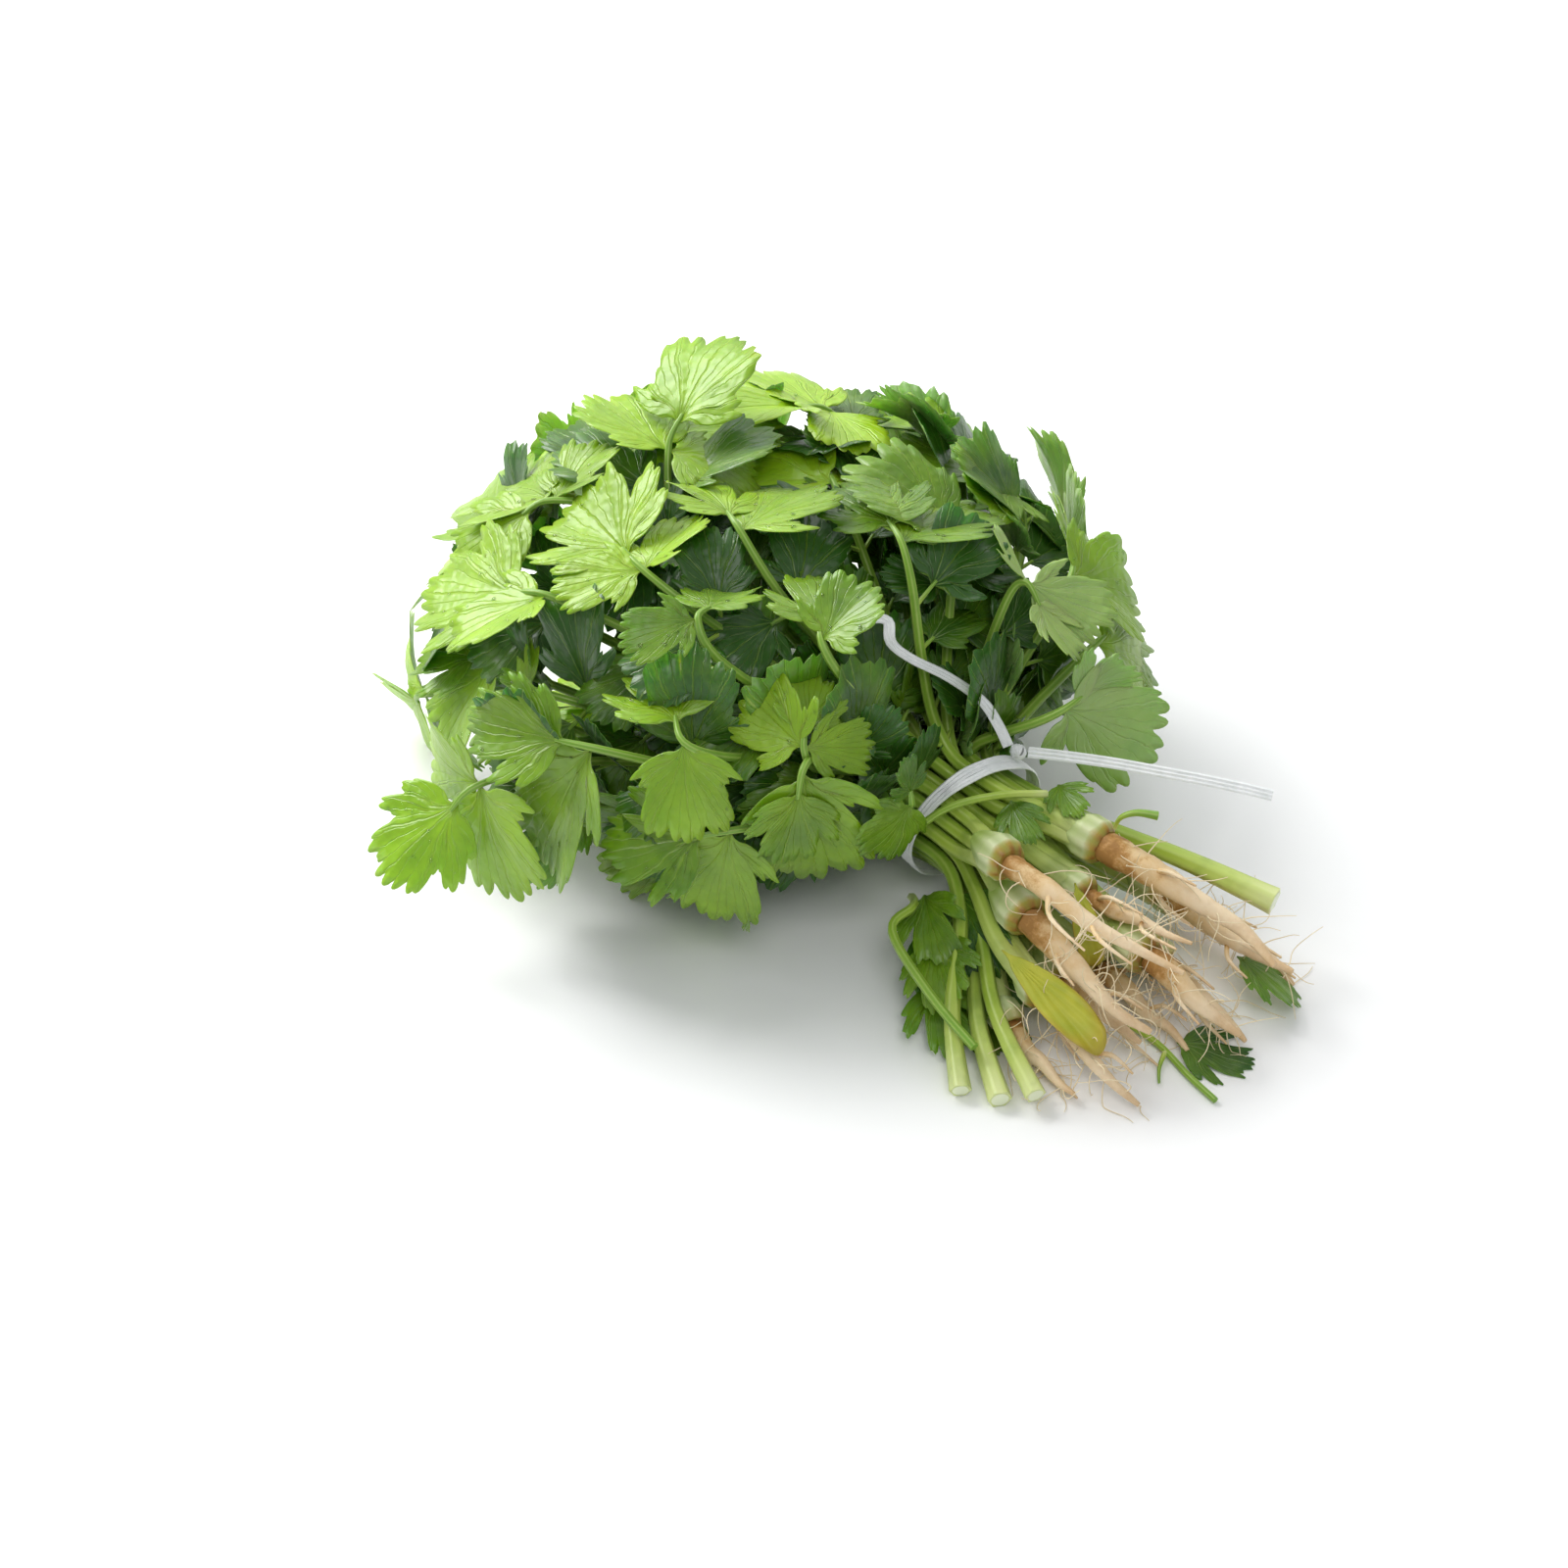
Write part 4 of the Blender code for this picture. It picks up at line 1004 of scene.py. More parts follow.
def join_skins(skins):
    """Several skins as one."""
    corners, faces, marks, first = [], [], {}, 0
    for skin in skins:
        corners.append(skin[0])
        faces.append(skin[1] + first)
        first += len(skin[0])
        for mark, values in skin[2].items():
            marks.setdefault(mark, []).append(values)
    joined = {mark: np.concatenate(values) for mark, values in marks.items()}
    return np.concatenate(corners), np.concatenate(faces).tolist(), joined


def mark_of(tree, name):
    """A number that was kept at each corner of the mesh."""
    return add_node(tree, "ShaderNodeAttribute", {"attribute_name": name}).outputs["Fac"]


def put_in(tree, sockets, values):
    """Gives each socket in turn its value, or a link where the value is a socket itself."""
    for socket, value in zip(sockets, values):
        if isinstance(value, (tuple, int, float)):
            socket.default_value = value
        else:
            tree.links.new(value, socket)


def reckon(tree, operation, *values, clamp=False):
    """A Math node on numbers and sockets."""
    node = add_node(tree, "ShaderNodeMath", {"operation": operation, "use_clamp": clamp})
    put_in(tree, node.inputs, values)
    return node.outputs["Value"]


def past(tree, value, start, gain, clamp=False):
    """How far a value is past a start, times a gain."""
    return reckon(tree, "MULTIPLY", reckon(tree, "SUBTRACT", value, start), gain, clamp=clamp)


def blend_colors(tree, share, first, second):
    """The first colour, passing to the second as share goes from 0 to 1."""
    node = add_node(tree, "ShaderNodeMix", {"data_type": "RGBA"})
    put_in(tree, [socket for socket in node.inputs if socket.enabled], (share, first, second))
    return next(socket for socket in node.outputs if socket.enabled)


def press_in(tree, shader, height, strength):
    """Dents a skin by up to half a millimetre where the height falls."""
    values = {"Strength": strength, "Distance": 0.5 * MM}
    dent = add_node(tree, "ShaderNodeBump", values=values, links={"Height": height})
    tree.links.new(dent.outputs["Normal"], shader.inputs["Normal"])


def vein_lines(tree, across, out, count, thickness, start):
    """1 on veins that spread from the blade's base, count of them to each half, else 0."""
    turn = reckon(tree, "MULTIPLY", across, count)
    turn = reckon(tree, "FRACT", reckon(tree, "ADD", turn, 100.5))
    beside = reckon(tree, "ABSOLUTE", reckon(tree, "SUBTRACT", turn, 0.5))
    beside = reckon(tree, "DIVIDE", reckon(tree, "MULTIPLY", beside, out), count)
    line = reckon(tree, "SUBTRACT", 1.0, reckon(tree, "DIVIDE", beside, thickness), clamp=True)
    return reckon(tree, "MULTIPLY", line, past(tree, out, start, 6.0, clamp=True))


# Living leaf: satin cuticle over deep green, brighter where young, greyer beneath, with pale veins
# that fan out from the base. The veins are drawn about twice as wide as the real 0.2 mm. The tone
# mark also carries painted light: painted backlight makes the leaves at the head's far end
# brighter, and painted shade makes the small leaves inside the head darker.
leaf_finish, tree, shader = new_finish("coriander_leaf", 0.40, ior=1.45)
shader.inputs["Specular IOR Level"].default_value = 0.75
let_light_in(shader, 0.30, (0.5, 1.0, 0.12), 1.5)
out = mark_of(tree, "out")
patches = patches_over(tree, 70, Detail=4, Roughness=0.6)
bent = reckon(tree, "ADD", mark_of(tree, "across"), past(tree, patches, 0.5, 0.16))
main_veins = vein_lines(tree, bent, out, 3, 0.010, 0.0)
fine_veins = vein_lines(tree, bent, out, 10, 0.006, 0.35)
veins = reckon(tree, "MAXIMUM", main_veins, reckon(tree, "MULTIPLY", fine_veins, 0.55))
# The tone is the leaf's own freshness plus painted light: painted backlight at the head's far end
# and painted shade on the small inner leaves.
tone = reckon(tree, "ADD", mark_of(tree, "fresh"), past(tree, patches, 0.5, 0.9), clamp=True)
green = blend_colors(tree, tone, linear("2A5606"), linear("96BE12"))
green = blend_colors(tree, reckon(tree, "MULTIPLY", veins, 0.30), green, linear("A8C648"))
back = blend_colors(tree, tone, linear("7A9A52"), linear("A8C266"))
back = blend_colors(tree, reckon(tree, "MULTIPLY", veins, 0.5), back, linear("B4CB8A"))
green = blend_colors(tree, reckon(tree, "GREATER_THAN", mark_of(tree, "under"), 0.5), green, back)
tree.links.new(green, shader.inputs["Base Color"])
puckers = add_node(
    tree,
    "ShaderNodeTexVoronoi",
    {"feature": "SMOOTH_F1"},
    {"Scale": 420},
    {"Vector": add_node(tree, "ShaderNodeTexCoord").outputs["Object"]},
)
raised = reckon(tree, "ADD", veins, puckers.outputs["Distance"])
press_in(tree, shader, reckon(tree, "MULTIPLY", raised, -1.0), 0.6)

TWIG_PLACES = (0.12, 0.26, 0.40, 0.54, 0.68, 0.82)  # of small leaflets, as shares of the stalk
TWIG_STEM = (3, 8)  # the least and the greatest length of their stems
TWIG_LENGTH = (18, 32)  # and of their blades
TWIG_DEPTH = 0.90  # how near the head's envelope they may start
RIBBON_ROOM = 24  # how far the middle of one stays from the ribbon's near end, if in front of it
ribbon_spots = smooth_route(NEAR_TAIL, 2)


def hides_ribbon(middle):
    """True if a small leaf there would lie over the ribbon's near end."""
    gaps = [middle - spot for spot in ribbon_spots]
    return any(gap.length < RIBBON_ROOM and gap.dot(backwards) > -2 for gap in gaps)


def twig_leaves(frond, draw):
    """The smaller leaflets, in pairs, that a leaf bears along its stalk below its tip, each with
    the short stem that carries it."""
    stalk = smooth_route(frond["stalk"][0][3:], 3)
    leaves, stems = [], []
    for share in TWIG_PLACES:
        i = int(share * (len(stalk) - 2))
        spot = stalk[i]
        along = (stalk[i + 1] - stalk[i - 1]).normalized()
        deep = Vector((p - c) / r for p, c, r in zip(spot, HEAD, HEAD_REACH)).length
        if deep > TWIG_DEPTH or spot.x > -7:
            continue
        outward = outward_at(spot)
        for hand in (-1, 1):
            aside = along.cross(outward).normalized() * hand
            way = along * draw.uniform(0.3, 0.9) + aside + outward * draw.uniform(-0.2, 0.3)
            way.normalize()
            stem = draw.uniform(*TWIG_STEM)
            base = spot + way * stem
            face = outward + Vector(draw.uniform(-0.5, 0.5) for _ in range(3)) + Vector((0, 0, 0.3))
            leaf = new_leaflet(base, way, face, draw.uniform(*TWIG_LENGTH), draw)
            leaf["teeth"] = 5
            # Small leaves inside the head get a low tone, so they come out dark green: painted
            # shade for the inside of the head.
            leaf["fresh"] = draw.uniform(-0.3, 0.25)
            middle = base + leaf["tip"] * leaf["length"] / 2
            if hides_ribbon(middle):
                continue
            leaves.append(leaf)
            stems.append(([spot, spot + way * stem * 0.5, base + way * 2], [0.8, 0.6, 0.5]))
    return leaves, stems


def nodes_in_order(owners):
    """Each plant or cut stalk with the names of its nodes."""
    plants = cut = 0
    for owner in owners:
        if owner["tip"]:
            plants += 1
            yield owner, f"plant_{plants:02d}", f"root_{plants:02d}"
        else:
            cut += 1
            yield owner, f"cut_stalk_{cut:02d}", None


shade = random.Random(7)
for owner, name, _ in nodes_in_order(owners):
    skins = []
    owner["shown_blades"] = []
    for frond in owner.get("fronds", []):
        if not frond["leaves"]:
            continue
        age = shade.uniform(0.2, 0.8)
        # Fronds towards the head's far end, on the window lamp's side, get a brighter, yellower
        # tone: painted backlight, added to each frond's own age.
        painted_backlight = max(0.0, min(1.0, (-frond["node"].x - 60) / 70))
        for leaf in frond["leaves"]:
            leaf["fresh"] = age + 0.5 * painted_backlight + shade.uniform(-0.12, 0.12)
        for leaf in frond["leaves"]:
            skins.append(blade_skin(leaf, FINE if frond["shown"] else PLAIN))
            if frond["shown"]:
                owner["shown_blades"].append((skins[-1], leaf))
        twigs, frond["twigs"] = twig_leaves(frond, shade)
        skins += [blade_skin(leaf, TWIG_LEAF) for leaf in twigs]
    if skins:
        corners, faces, marks = join_skins(skins)
        add_piece(name + "_leaves", corners, faces, leaf_finish, [name], marks)

# ======================================================================== leaf stalks
# Juicy ribbed petioles: pale where they leave the crown, greener towards the leaf. Each is one
# tapered sweep of a ribbed cross-section along the line that the stalk takes through the tie.


def sweep_tree(name, finish):
    """A node tree that sweeps a ribbed round cross-section along every curve it is given, as
    thick as the curve says, and marks how far along and how deep in a rib each corner is."""
    tree = bpy.data.node_groups.new(name, "GeometryNodeTree")
    tree.interface.new_socket("Geometry", in_out="INPUT", socket_type="NodeSocketGeometry")
    tree.interface.new_socket("Corners", in_out="INPUT", socket_type="NodeSocketInt")
    tree.interface.new_socket("Ribs", in_out="INPUT", socket_type="NodeSocketInt")
    tree.interface.new_socket("Rib depth", in_out="INPUT", socket_type="NodeSocketFloat")
    tree.interface.new_socket("Geometry", in_out="OUTPUT", socket_type="NodeSocketGeometry")
    given = add_node(tree, "NodeGroupInput").outputs
    ring = add_node(
        tree,
        "GeometryNodeCurvePrimitiveCircle",
        values={"Radius": 1.0},
        links={"Resolution": given["Corners"]},
    )
    index = add_node(tree, "GeometryNodeInputIndex").outputs["Index"]
    turn = reckon(tree, "DIVIDE", reckon(tree, "MULTIPLY", index, 2 * math.pi), given["Corners"])
    wave = reckon(tree, "COSINE", reckon(tree, "MULTIPLY", turn, given["Ribs"]))
    swell = reckon(tree, "ADD", reckon(tree, "MULTIPLY", wave, given["Rib depth"]), 1.0)
    position = add_node(tree, "GeometryNodeInputPosition").outputs["Position"]
    moved = add_node(
        tree,
        "ShaderNodeVectorMath",
        {"operation": "SCALE"},
        links={"Vector": position, "Scale": swell},
    )
    ribbed = add_node(
        tree,
        "GeometryNodeSetPosition",
        links={"Geometry": ring.outputs["Curve"], "Position": moved.outputs["Vector"]},
    )
    marked = add_node(
        tree,
        "GeometryNodeStoreNamedAttribute",
        {"data_type": "FLOAT", "domain": "POINT"},
        {"Name": "rib"},
        {"Geometry": ribbed.outputs["Geometry"], "Value": wave},
    )
    reach = add_node(tree, "GeometryNodeSplineParameter").outputs["Factor"]
    measured = add_node(
        tree,
        "GeometryNodeStoreNamedAttribute",
        {"data_type": "FLOAT", "domain": "POINT"},
        {"Name": "along"},
        {"Geometry": given["Geometry"], "Value": reach},
    )
    radius = add_node(tree, "GeometryNodeInputRadius").outputs["Radius"]
    swept = add_node(
        tree,
        "GeometryNodeCurveToMesh",
        values={"Fill Caps": True},
        links={
            "Curve": measured.outputs["Geometry"],
            "Profile Curve": marked.outputs["Geometry"],
            "Scale": radius,
        },
    )
    real = add_node(tree, "GeometryNodeRealizeInstances", links={"Geometry": swept.outputs["Mesh"]})
    painted = add_node(
        tree,
        "GeometryNodeSetMaterial",
        values={"Material": finish},
        links={"Geometry": real.outputs["Geometry"]},
    )
    add_node(tree, "NodeGroupOutput", links={"Geometry": painted.outputs["Geometry"]})
    return tree


def grown(thing, tree, **sizes):
    """The plain mesh that a node tree makes of an object, which is then removed."""
    modifier = thing.modifiers.new(tree.name, "NODES")
    modifier.node_group = tree
    for socket in tree.interface.items_tree:
        if socket.name in sizes and socket.in_out == "INPUT":
            modifier[socket.identifier] = sizes[socket.name]
    bpy.context.view_layer.update()
    graph = bpy.context.evaluated_depsgraph_get()
    mesh = bpy.data.meshes.new_from_object(thing.evaluated_get(graph), depsgraph=graph)
    bpy.data.objects.remove(thing)
    return mesh


def swept(paths, tree, corners, ribs=0, depth=0.0):
    """One mesh of tubes along paths, each a list of points and of radii in mm."""
    curve = bpy.data.curves.new("paths", "CURVE")
    curve.dimensions = "3D"
    for points, radii in paths:
        line = curve.splines.new("POLY")
        line.points.add(len(points) - 1)
        for spot, place, radius in zip(line.points, in_frame(points), radii):
            spot.co = (*place, 1)
            spot.radius = radius * MM
    thing = bpy.data.objects.new("paths", curve)
    bpy.context.scene.collection.objects.link(thing)
    return grown(thing, tree, **{"Corners": corners, "Ribs": ribs, "Rib depth": depth})


def refined(points, radii, steps):
    """A path with more points on the smooth curve through its own, and radii to match."""
    places = np.arange((len(points) - 1) * steps + 1) / steps
    return smooth_route(points, steps), list(np.interp(places, range(len(radii)), radii))


# Petiole: wet-looking skin over pale ribs, whitish at the crown, yellow-green in the middle.
stalk_finish, tree, shader = new_finish("coriander_petiole", 0.34, ior=1.45)
shades = (
    (0.0, "D6DD9C"),
    (0.08, "BFD06A"),
    (0.2, "A3BE3A"),
    (0.45, "80A824"),
    (1.0, "5E941A"),
)
skin = picked_color(tree, mark_of(tree, "along"), shades)
rib = reckon(tree, "MULTIPLY", reckon(tree, "ADD", mark_of(tree, "rib"), 1.0), 0.24)
skin = blend_colors(tree, rib, skin, linear("CBDB7E"))
dull = past(tree, patches_over(tree, 110, Detail=4), 0.48, 3.0, clamp=True)
skin = blend_colors(tree, reckon(tree, "MULTIPLY", dull, 0.5), skin, linear("5A8620"))
tree.links.new(skin, shader.inputs["Base Color"])
let_light_in(shader, 0.08, (0.8, 1.0, 0.3), 1.5)

STALK_SECTION = (18, 6, 0.10)  # corners, ribs, and their depth as a share of the radius
SHEATH_SWELL = 0.22  # how much broader a stalk's base is where it sheathes the crown

stalk_tree = sweep_tree("ribbed_petiole", stalk_finish)
for owner, name, _ in nodes_in_order(owners):
    paths = []
    for frond in owner.get("fronds", []):
        points, radii = refined(*frond["stalk"], 5)
        broad = [1 + SHEATH_SWELL * max(0, 1 - i / 10) for i in range(len(radii))]
        paths.append((points, [radius * swell for radius, swell in zip(radii, broad)]))
        paths += [refined(*stem, 2) for stem in frond.get("twigs", [])]
    if paths:
        mesh = swept(paths, stalk_tree, *STALK_SECTION)
        finish_piece(name + "_stalks", mesh, stalk_finish, [name])

for name, route, radius in (
    ("stray_stalk", STRAY_STALK, 1.0),
    ("bent_stalk", BENT_STALK, 1.2),
    ("thin_stem", THIN_STEM, 0.9),
):
    points = smooth_route(route, 6)
    radii = [radius] * len(points)
    lift_off_floor(points, radii)
    mesh = swept([(points, radii)], stalk_tree, *STALK_SECTION)
    finish_piece(name + "_ribbed", mesh, stalk_finish, [name])

# ======================================================================== cut ends
# The faces of the stalks that were cut rather than pulled: pale wet pith inside the green skin.

# Pith: almost white, wet.
pith_finish, _, shader = new_finish("cut_pith", 0.3)
shader.inputs["Base Color"].default_value = linear("E6EDCB")
pith_tree = sweep_tree("pith", pith_finish)
ends = []
for owner in owners:
    if not owner["tip"] and owner.get("fronds"):
        points, radii = owner["fronds"][0]["stalk"]
        out_way = (points[0] - points[1]).normalized()
        face_radius = radii[0] * (1 + SHEATH_SWELL) * 0.78
        ends.append(([points[0] - out_way, points[0] + out_way * 0.12], [face_radius, face_radius]))
finish_piece("cut_ends", swept(ends, pith_tree, 18), pith_finish, smooth=False)

# ======================================================================== scraps among the roots
# A curled dry sprout, a side shoot of the thin stem, and bits of leaf that were caught up in the
# tie with the stalks.

SPROUT = ((44, 15, 42), (46, 15, 47), (49, 18, 49), (53, 22, 48.5))
SIDE_SHOOT = ((88, -4, 1.6), (91, -9, 1.2), (95, -13, 1.0))
SCRAPS = (
    ((14, -27, 20), (34, -40, 18), (-0.2, -0.6, 0.8), 0.35),
    ((24, -32, 14), (46, -46, 13), (-0.1, -0.5, 0.9), 0.45),
    ((32, -40, 7), (56, -50, 6), (0, -0.3, 1), 0.3),
    ((14, -24, 9), (46, -34, 5), (-0.1, -0.4, 1), 0.1),
    ((30, -26, 5), (62, -38, 3), (0, -0.3, 1), 0.2),
    ((20, -20, 21), (46, -30, 17), (-0.2, -0.5, 0.8), 0.05),
    ((20, -2, 45), (36, -9, 44), (0.2, -0.4, 1), 0.3),
    ((22, 14, 44), (36, 9, 45), (0.2, -0.3, 1), 0.4),
    ((88, 0, 3), (106, 12, 3), (0.3, -0.3, 1), 0.1),
    ((80, 30, 12), (100, 38, 8), (0, 0.3, 1), 0.3),
)
scrap_draw = random.Random(5)
skins = []
for base, tip, face, fresh in SCRAPS:
    way = Vector(tip) - Vector(base)
    leaf = new_leaflet(Vector(base), way, Vector(face), way.length, scrap_draw)
    leaf["opening"] = math.radians(58)
    leaf["fresh"] = fresh
    skins.append(blade_skin(leaf, PLAIN))
corners, faces, marks = join_skins(skins)
add_piece("leaf_scraps", corners, faces, leaf_finish, (), marks)
shoots = [refined([Vector(spot) for spot in SPROUT], [0.6, 0.7, 0.9, 1.2], 6)]
shoots.append(refined([Vector(spot) for spot in SIDE_SHOOT], [0.7, 0.5, 0.3], 6))
finish_piece("side_shoots", swept(shoots, stalk_tree, 12, 4, 0.1), stalk_finish)

# ======================================================================== crowns
# The swollen foot of each plant, where the broad pale bases of its stalks wrap round one another
# above the root. Earth has stained it brown at the neck.

# Petiole sheath: whitish green and faintly grooved, tan where it meets the root.
crown_finish, tree, shader = new_finish("coriander_crown_sheath", 0.38, ior=1.45)
stain = past(tree, patches_over(tree, 160, Detail=5, Roughness=0.65), 0.5, 0.22)
shades = (
    (0.0, "94622A"),
    (0.09, "B99F4A"),
    (0.2, "DDE2B4"),
    (0.5, "D2DEA0"),
    (0.75, "B4CA70"),
    (1.0, "A8C060"),
)
stained = reckon(tree, "ADD", mark_of(tree, "along"), stain, clamp=True)
skin = picked_color(tree, stained, shades)
groove = reckon(tree, "MULTIPLY", reckon(tree, "SUBTRACT", 1.0, mark_of(tree, "rib")), 0.22)
skin = blend_colors(tree, groove, skin, linear("93AC48"))
tree.links.new(skin, shader.inputs["Base Color"])
let_light_in(shader, 0.25, (0.9, 1.0, 0.5), 2)

CROWN_SECTION = (54, 9, 0.03)
crown_tree = sweep_tree("ribbed_crown", crown_finish)
for owner, name, _ in nodes_in_order(owners):
    if owner["tip"]:
        points, radii = refined(*owner["crown"], 5)
        lift_off_floor(points, [radius * 1.08 for radius in radii])
        mesh = swept([(points, radii)], crown_tree, *CROWN_SECTION)
        finish_piece(name + "_crown", mesh, crown_finish, [name])

# ======================================================================== taproots and root hairs
# Pale taproots with a few side roots, scrubbed but still stained with earth near the neck, and
# the fine curly hairs left on them.

ROOT_JITTER = 0.05  # how unevenly a root tapers, as a share of its radius

# Root bark: matt peach skin, tan at the neck and stained with earth.
root_finish, tree, shader = new_finish("coriander_root_bark", 0.62)
patches = patches_over(tree, 120, Detail=6, Roughness=0.7)
shades = (
    (0.0, "A37438"),
    (0.09, "BE8E4E"),
    (0.22, "E0C08C"),
    (0.6, "F0DAB6"),
    (1.0, "D2B286"),
)
stained = reckon(tree, "ADD", mark_of(tree, "along"), past(tree, patches, 0.5, 1.1), clamp=True)
tree.links.new(picked_color(tree, stained, shades), shader.inputs["Base Color"])
press_in(tree, shader, patches, 0.5)
let_light_in(shader, 0.05, (1.0, 0.6, 0.3), 1.5)

ROOT_SECTION = (20, 5, 0.04)
HAIR_SIDES = 5
HAIRS = 16  # on each taproot
SIDE_HAIRS = 4  # on each side root
root_tree = sweep_tree("root", root_finish)

# Root hair: pale cream, dull. Hairs are drawn about twice as thick as real ones.
hair_finish, _, shader = new_finish("coriander_root_hair", 0.6)
shader.inputs["Base Color"].default_value = linear("E9D8B4")
hair_tree = sweep_tree("root_hair", hair_finish)


def hair_path(points, radii, draw):
    """A fine curly hair that leaves a root anywhere along it and wanders off."""
    i = draw.randrange(2, len(points) - 2)
    along = (points[i + 1] - points[i - 1]).normalized()
    out = along.cross(Vector(draw.uniform(-1, 1) for _ in range(3))).normalized()
    spot = points[i] + out * radii[i] * 0.8
    way = (out + along * draw.uniform(-0.3, 0.9)).normalized()
    curl = Vector(draw.uniform(-1, 1) for _ in range(3))
    path = [spot]
    steps = draw.randrange(7, 15)
    for _ in range(steps):
        curl += Vector(draw.uniform(-0.7, 0.7) for _ in range(3))
        way = (way + curl * 0.22 + Vector((0.05, 0, -0.07))).normalized()
        path.append(path[-1] + way * 1.5)
        path[-1].z = max(path[-1].z, 0.4)
    return path, [0.21 - 0.12 * k / steps for k in range(steps + 1)]


earth = random.Random(11)
for owner, name, root_name in nodes_in_order(owners):
    if not owner["tip"]:
        continue
    points, radii = refined(*owner["taproot"], 7)
    uneven = [radius * (1 + earth.uniform(-ROOT_JITTER, ROOT_JITTER)) for radius in radii]
    paths = [(points, uneven)]
    for side_root, taper in owner["rootlets"]:
        paths.append(refined(side_root, [0.75 * taper[0], 0.8 * taper[1], 0.3], 6))
    mesh = swept(paths, root_tree, *ROOT_SECTION)
    finish_piece(root_name + "_bark", mesh, root_finish, [root_name])
    hairs = [hair_path(points, radii, earth) for _ in range(HAIRS)]
    for path in paths[1:]:
        hairs += [hair_path(*path, earth) for _ in range(SIDE_HAIRS)]
    mesh = swept(hairs, hair_tree, HAIR_SIDES)
    finish_piece(root_name + "_hairs", mesh, hair_finish)

# ======================================================================== withered leaves
# Two old leaves that came away with the plants and lie over the roots: tongue-shaped, limp and
# yellowed, tan at the edge.


# Withered blade: olive yellow, going tan towards the edge, nearly matt.
withered_finish, tree, shader = new_finish("withered_leaf", 0.5)
patches = patches_over(tree, 140, Detail=4)
faded = blend_colors(tree, patches, linear("8E9E22"), linear("C6C03C"))
bare = past(tree, mark_of(tree, "out"), 0.8, 4.0, clamp=True)
faded = blend_colors(tree, reckon(tree, "MULTIPLY", bare, 0.6), faded, linear("B0802C"))
tree.links.new(faded, shader.inputs["Base Color"])

WITHERED = (40, 16)  # steps across and along the blade
WITHERED_WALL = 0.5
for number, leaf in enumerate(yellow_leaves(), 1):
    name = f"yellow_leaf_{number:02d}"
    leaf.update(whole=True, fresh=0.5, wave=0.5 * leaf["wave"], width=0.8 * leaf["width"])
    corners, faces, marks = join_skins([blade_skin(leaf, WITHERED, WITHERED_WALL)])
    add_piece(name + "_blade", corners, faces, withered_finish, [name], marks)

# ======================================================================== ribbon round the stalks
# Two turns of the same folded strip as its free ends, drawn tight over the stalks and knotted on
# top. Each turn leans towards the roots by its own amount, so they spread apart at the knot.

TURN_WIDTH = 3.6
TURN_STEPS = 96
TURN_RADII = (TIE_RADIUS, TIE_RADIUS + 0.25)
KNOT_WIDTH = 2.2
KNOT_STEPS = 24
KNOT_LOOPS = ((0.2, 2.1), (1.3, 1.9), (2.4, 2.0))  # how each is turned, and its radius
strips = []
for lean, radius in zip(TIE_LEANS, TURN_RADII):
    points, facing = [], []
    for k in range(TURN_STEPS + 1):
        turn = 2 * math.pi * k / TURN_STEPS
        out_way = Vector((0, math.sin(turn), math.cos(turn)))
        slack = 0.125 * math.sin(9 * turn + lean)
        x = lean * math.cos(turn - KNOT_TURN) + TIE_SHIFT
        points.append(WAIST + out_way * (radius + slack) + Vector((x, 0, 0)))
        facing.append(out_way)
    strips.append(strip_skin(points, strip_profile(TURN_WIDTH), facing))
for twist, size in KNOT_LOOPS:
    points, facing = [], []
    for k in range(KNOT_STEPS + 1):
        turn = 2 * math.pi * k / KNOT_STEPS
        rise = 0.5 * math.sin(2 * turn)
        spot = Vector((size * math.cos(turn), 0.8 * size * math.sin(turn), rise))
        spot.rotate(Euler((twist, 0.6 * twist, 1.1 * twist)))
        points.append(KNOT + spot)
        facing.append(spot.normalized())
    strips.append(strip_skin(points, strip_profile(KNOT_WIDTH), facing))
corners, faces = merged(strips)
add_piece("tie_turns", corners, faces, ribbon_finish, ["tie_band"], smooth=False)

# ======================================================================== water drops
# Rinsing has left small round drops on the blades that face up. Each is a flattened bead, seated
# on the blade.

DROPS_PER_SQUARE_METRE = 16000
DROP_RADIUS = (0.3, 0.75)  # mm
LEAST_RISE = 0.35  # how much a blade's face has to point up to hold drops

# Water: clear, with a hard highlight.
water_finish, _, shader = new_finish("water", 0.03, ior=1.33)
shader.inputs["Transmission Weight"].default_value = 1.0
shader.inputs["Base Color"].default_value = linear("FFFFFF")

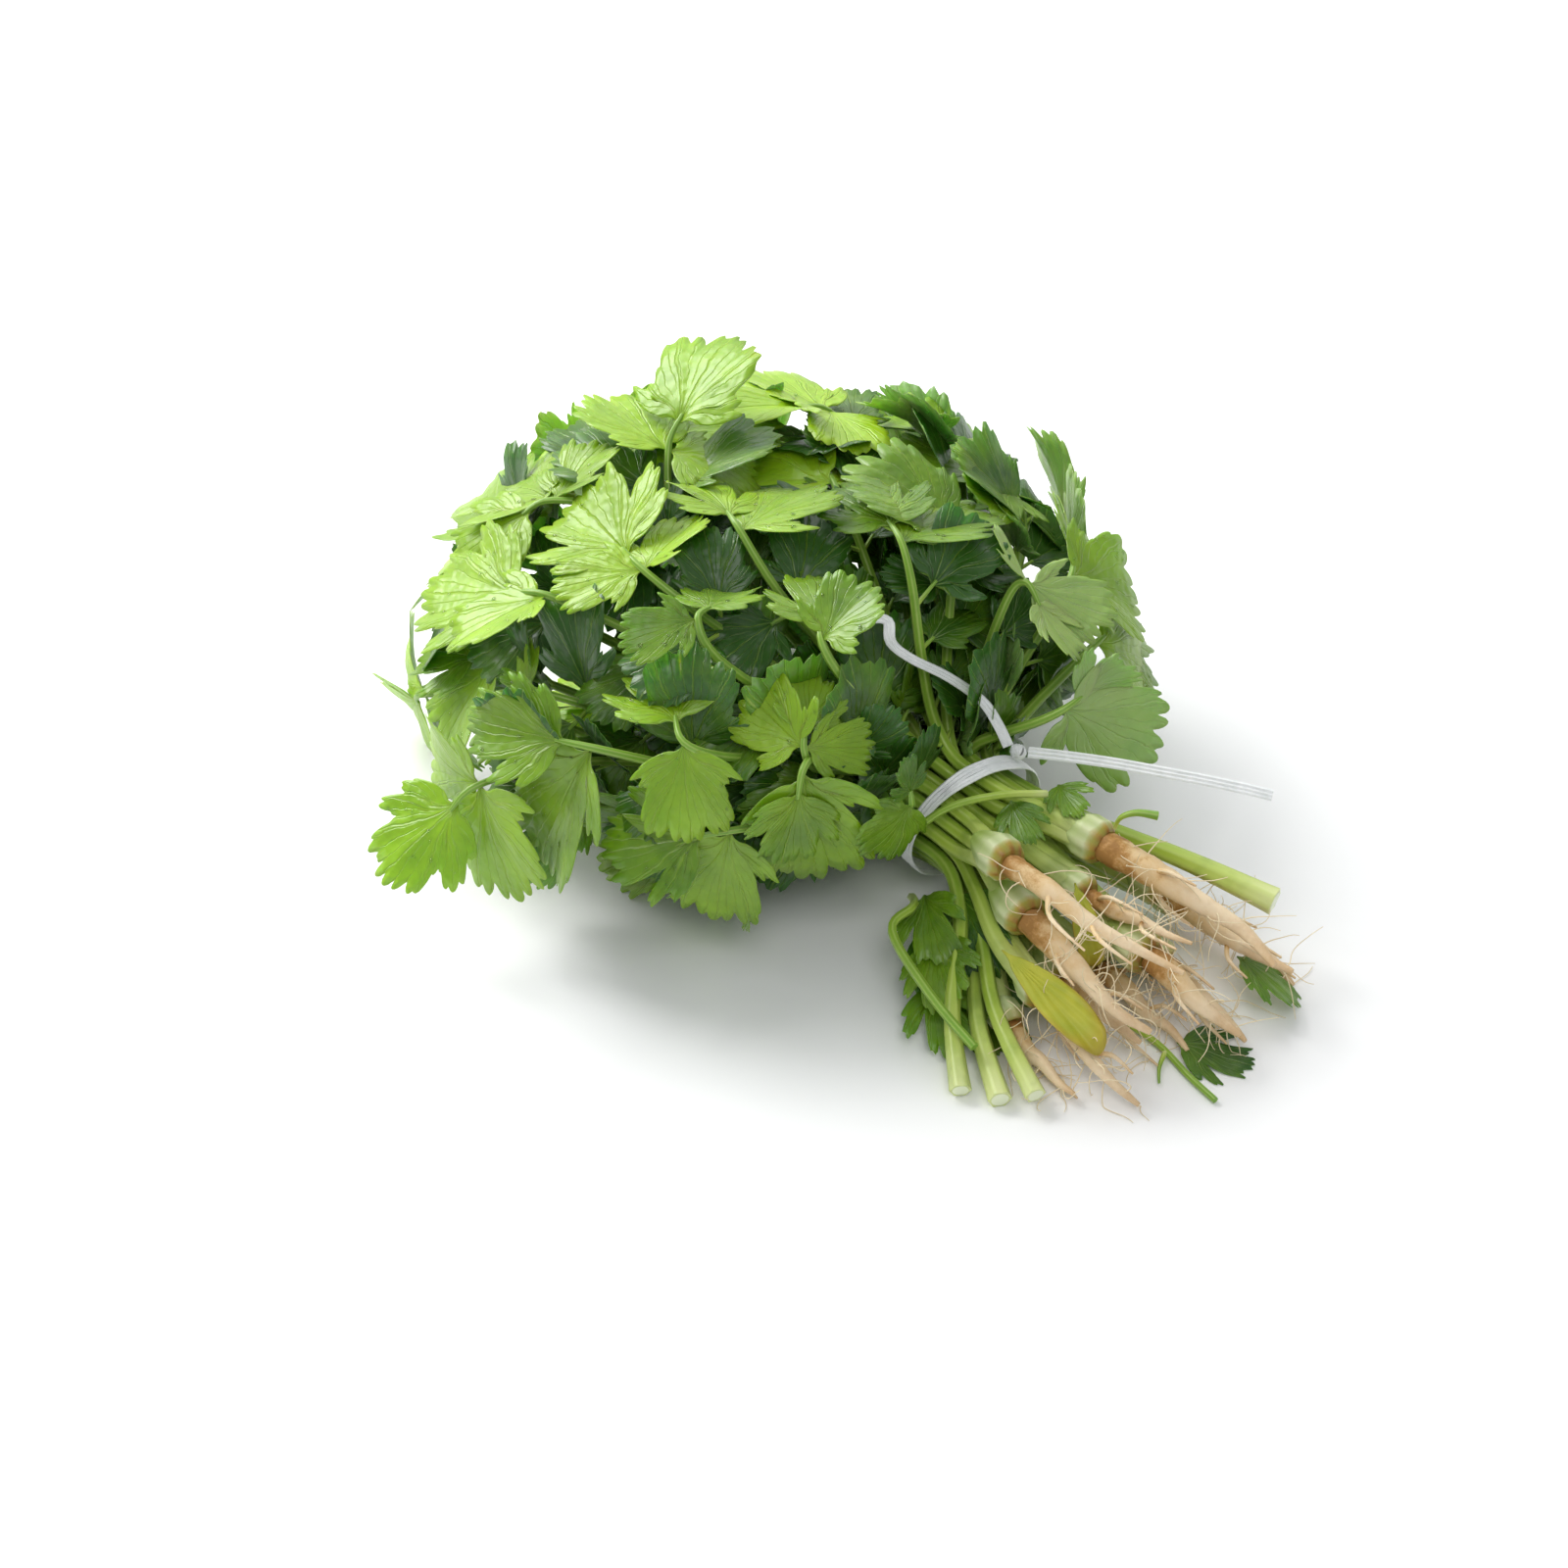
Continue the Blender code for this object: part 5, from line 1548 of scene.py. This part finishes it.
tree = bpy.data.node_groups.new("beads_on_blades", "GeometryNodeTree")
tree.interface.new_socket("Geometry", in_out="INPUT", socket_type="NodeSocketGeometry")
tree.interface.new_socket("Density", in_out="INPUT", socket_type="NodeSocketFloat")
tree.interface.new_socket("Smallest", in_out="INPUT", socket_type="NodeSocketFloat")
tree.interface.new_socket("Largest", in_out="INPUT", socket_type="NodeSocketFloat")
tree.interface.new_socket("Geometry", in_out="OUTPUT", socket_type="NodeSocketGeometry")
given = add_node(tree, "NodeGroupInput").outputs
spread = add_node(
    tree,
    "GeometryNodeDistributePointsOnFaces",
    {"distribute_method": "RANDOM"},
    {"Seed": 3},
    {"Mesh": given["Geometry"], "Density": given["Density"]},
)
bead = add_node(tree, "GeometryNodeMeshIcoSphere", values={"Radius": 1.0, "Subdivisions": 2})
flattened = add_node(
    tree,
    "GeometryNodeTransform",
    values={"Scale": (1, 1, 0.55)},
    links={"Geometry": bead.outputs["Mesh"]},
)
sizes = add_node(tree, "FunctionNodeRandomValue", {"data_type": "FLOAT"}, {"Seed": 9})
tree.links.new(given["Smallest"], sizes.inputs[2])
tree.links.new(given["Largest"], sizes.inputs[3])
beads = add_node(
    tree,
    "GeometryNodeInstanceOnPoints",
    links={
        "Points": spread.outputs["Points"],
        "Instance": flattened.outputs["Geometry"],
        "Rotation": spread.outputs["Rotation"],
        "Scale": sizes.outputs[1],
    },
)
instances = beads.outputs["Instances"]
real = add_node(tree, "GeometryNodeRealizeInstances", links={"Geometry": instances})
painted = add_node(
    tree,
    "GeometryNodeSetMaterial",
    values={"Material": water_finish},
    links={"Geometry": real.outputs["Geometry"]},
)
add_node(tree, "NodeGroupOutput", links={"Geometry": painted.outputs["Geometry"]})

faces_up = []
for owner in owners:
    for (corners, faces, _), leaf in owner["shown_blades"]:
        if leaf["face"].z > LEAST_RISE:
            upper = FINE[0] * FINE[1]
            faces_up.append((corners[: len(corners) // 2], faces[:upper], {}))
corners, faces, _ = join_skins(faces_up)
mesh = bpy.data.meshes.new("wet_blades")
mesh.from_pydata(in_frame(corners).tolist(), [], faces)
wet = bpy.data.objects.new("wet_blades", mesh)
bpy.context.scene.collection.objects.link(wet)
smallest, largest = (radius * MM for radius in DROP_RADIUS)
mesh = grown(wet, tree, Density=DROPS_PER_SQUARE_METRE, Smallest=smallest, Largest=largest)
finish_piece("water_drops", mesh, water_finish)
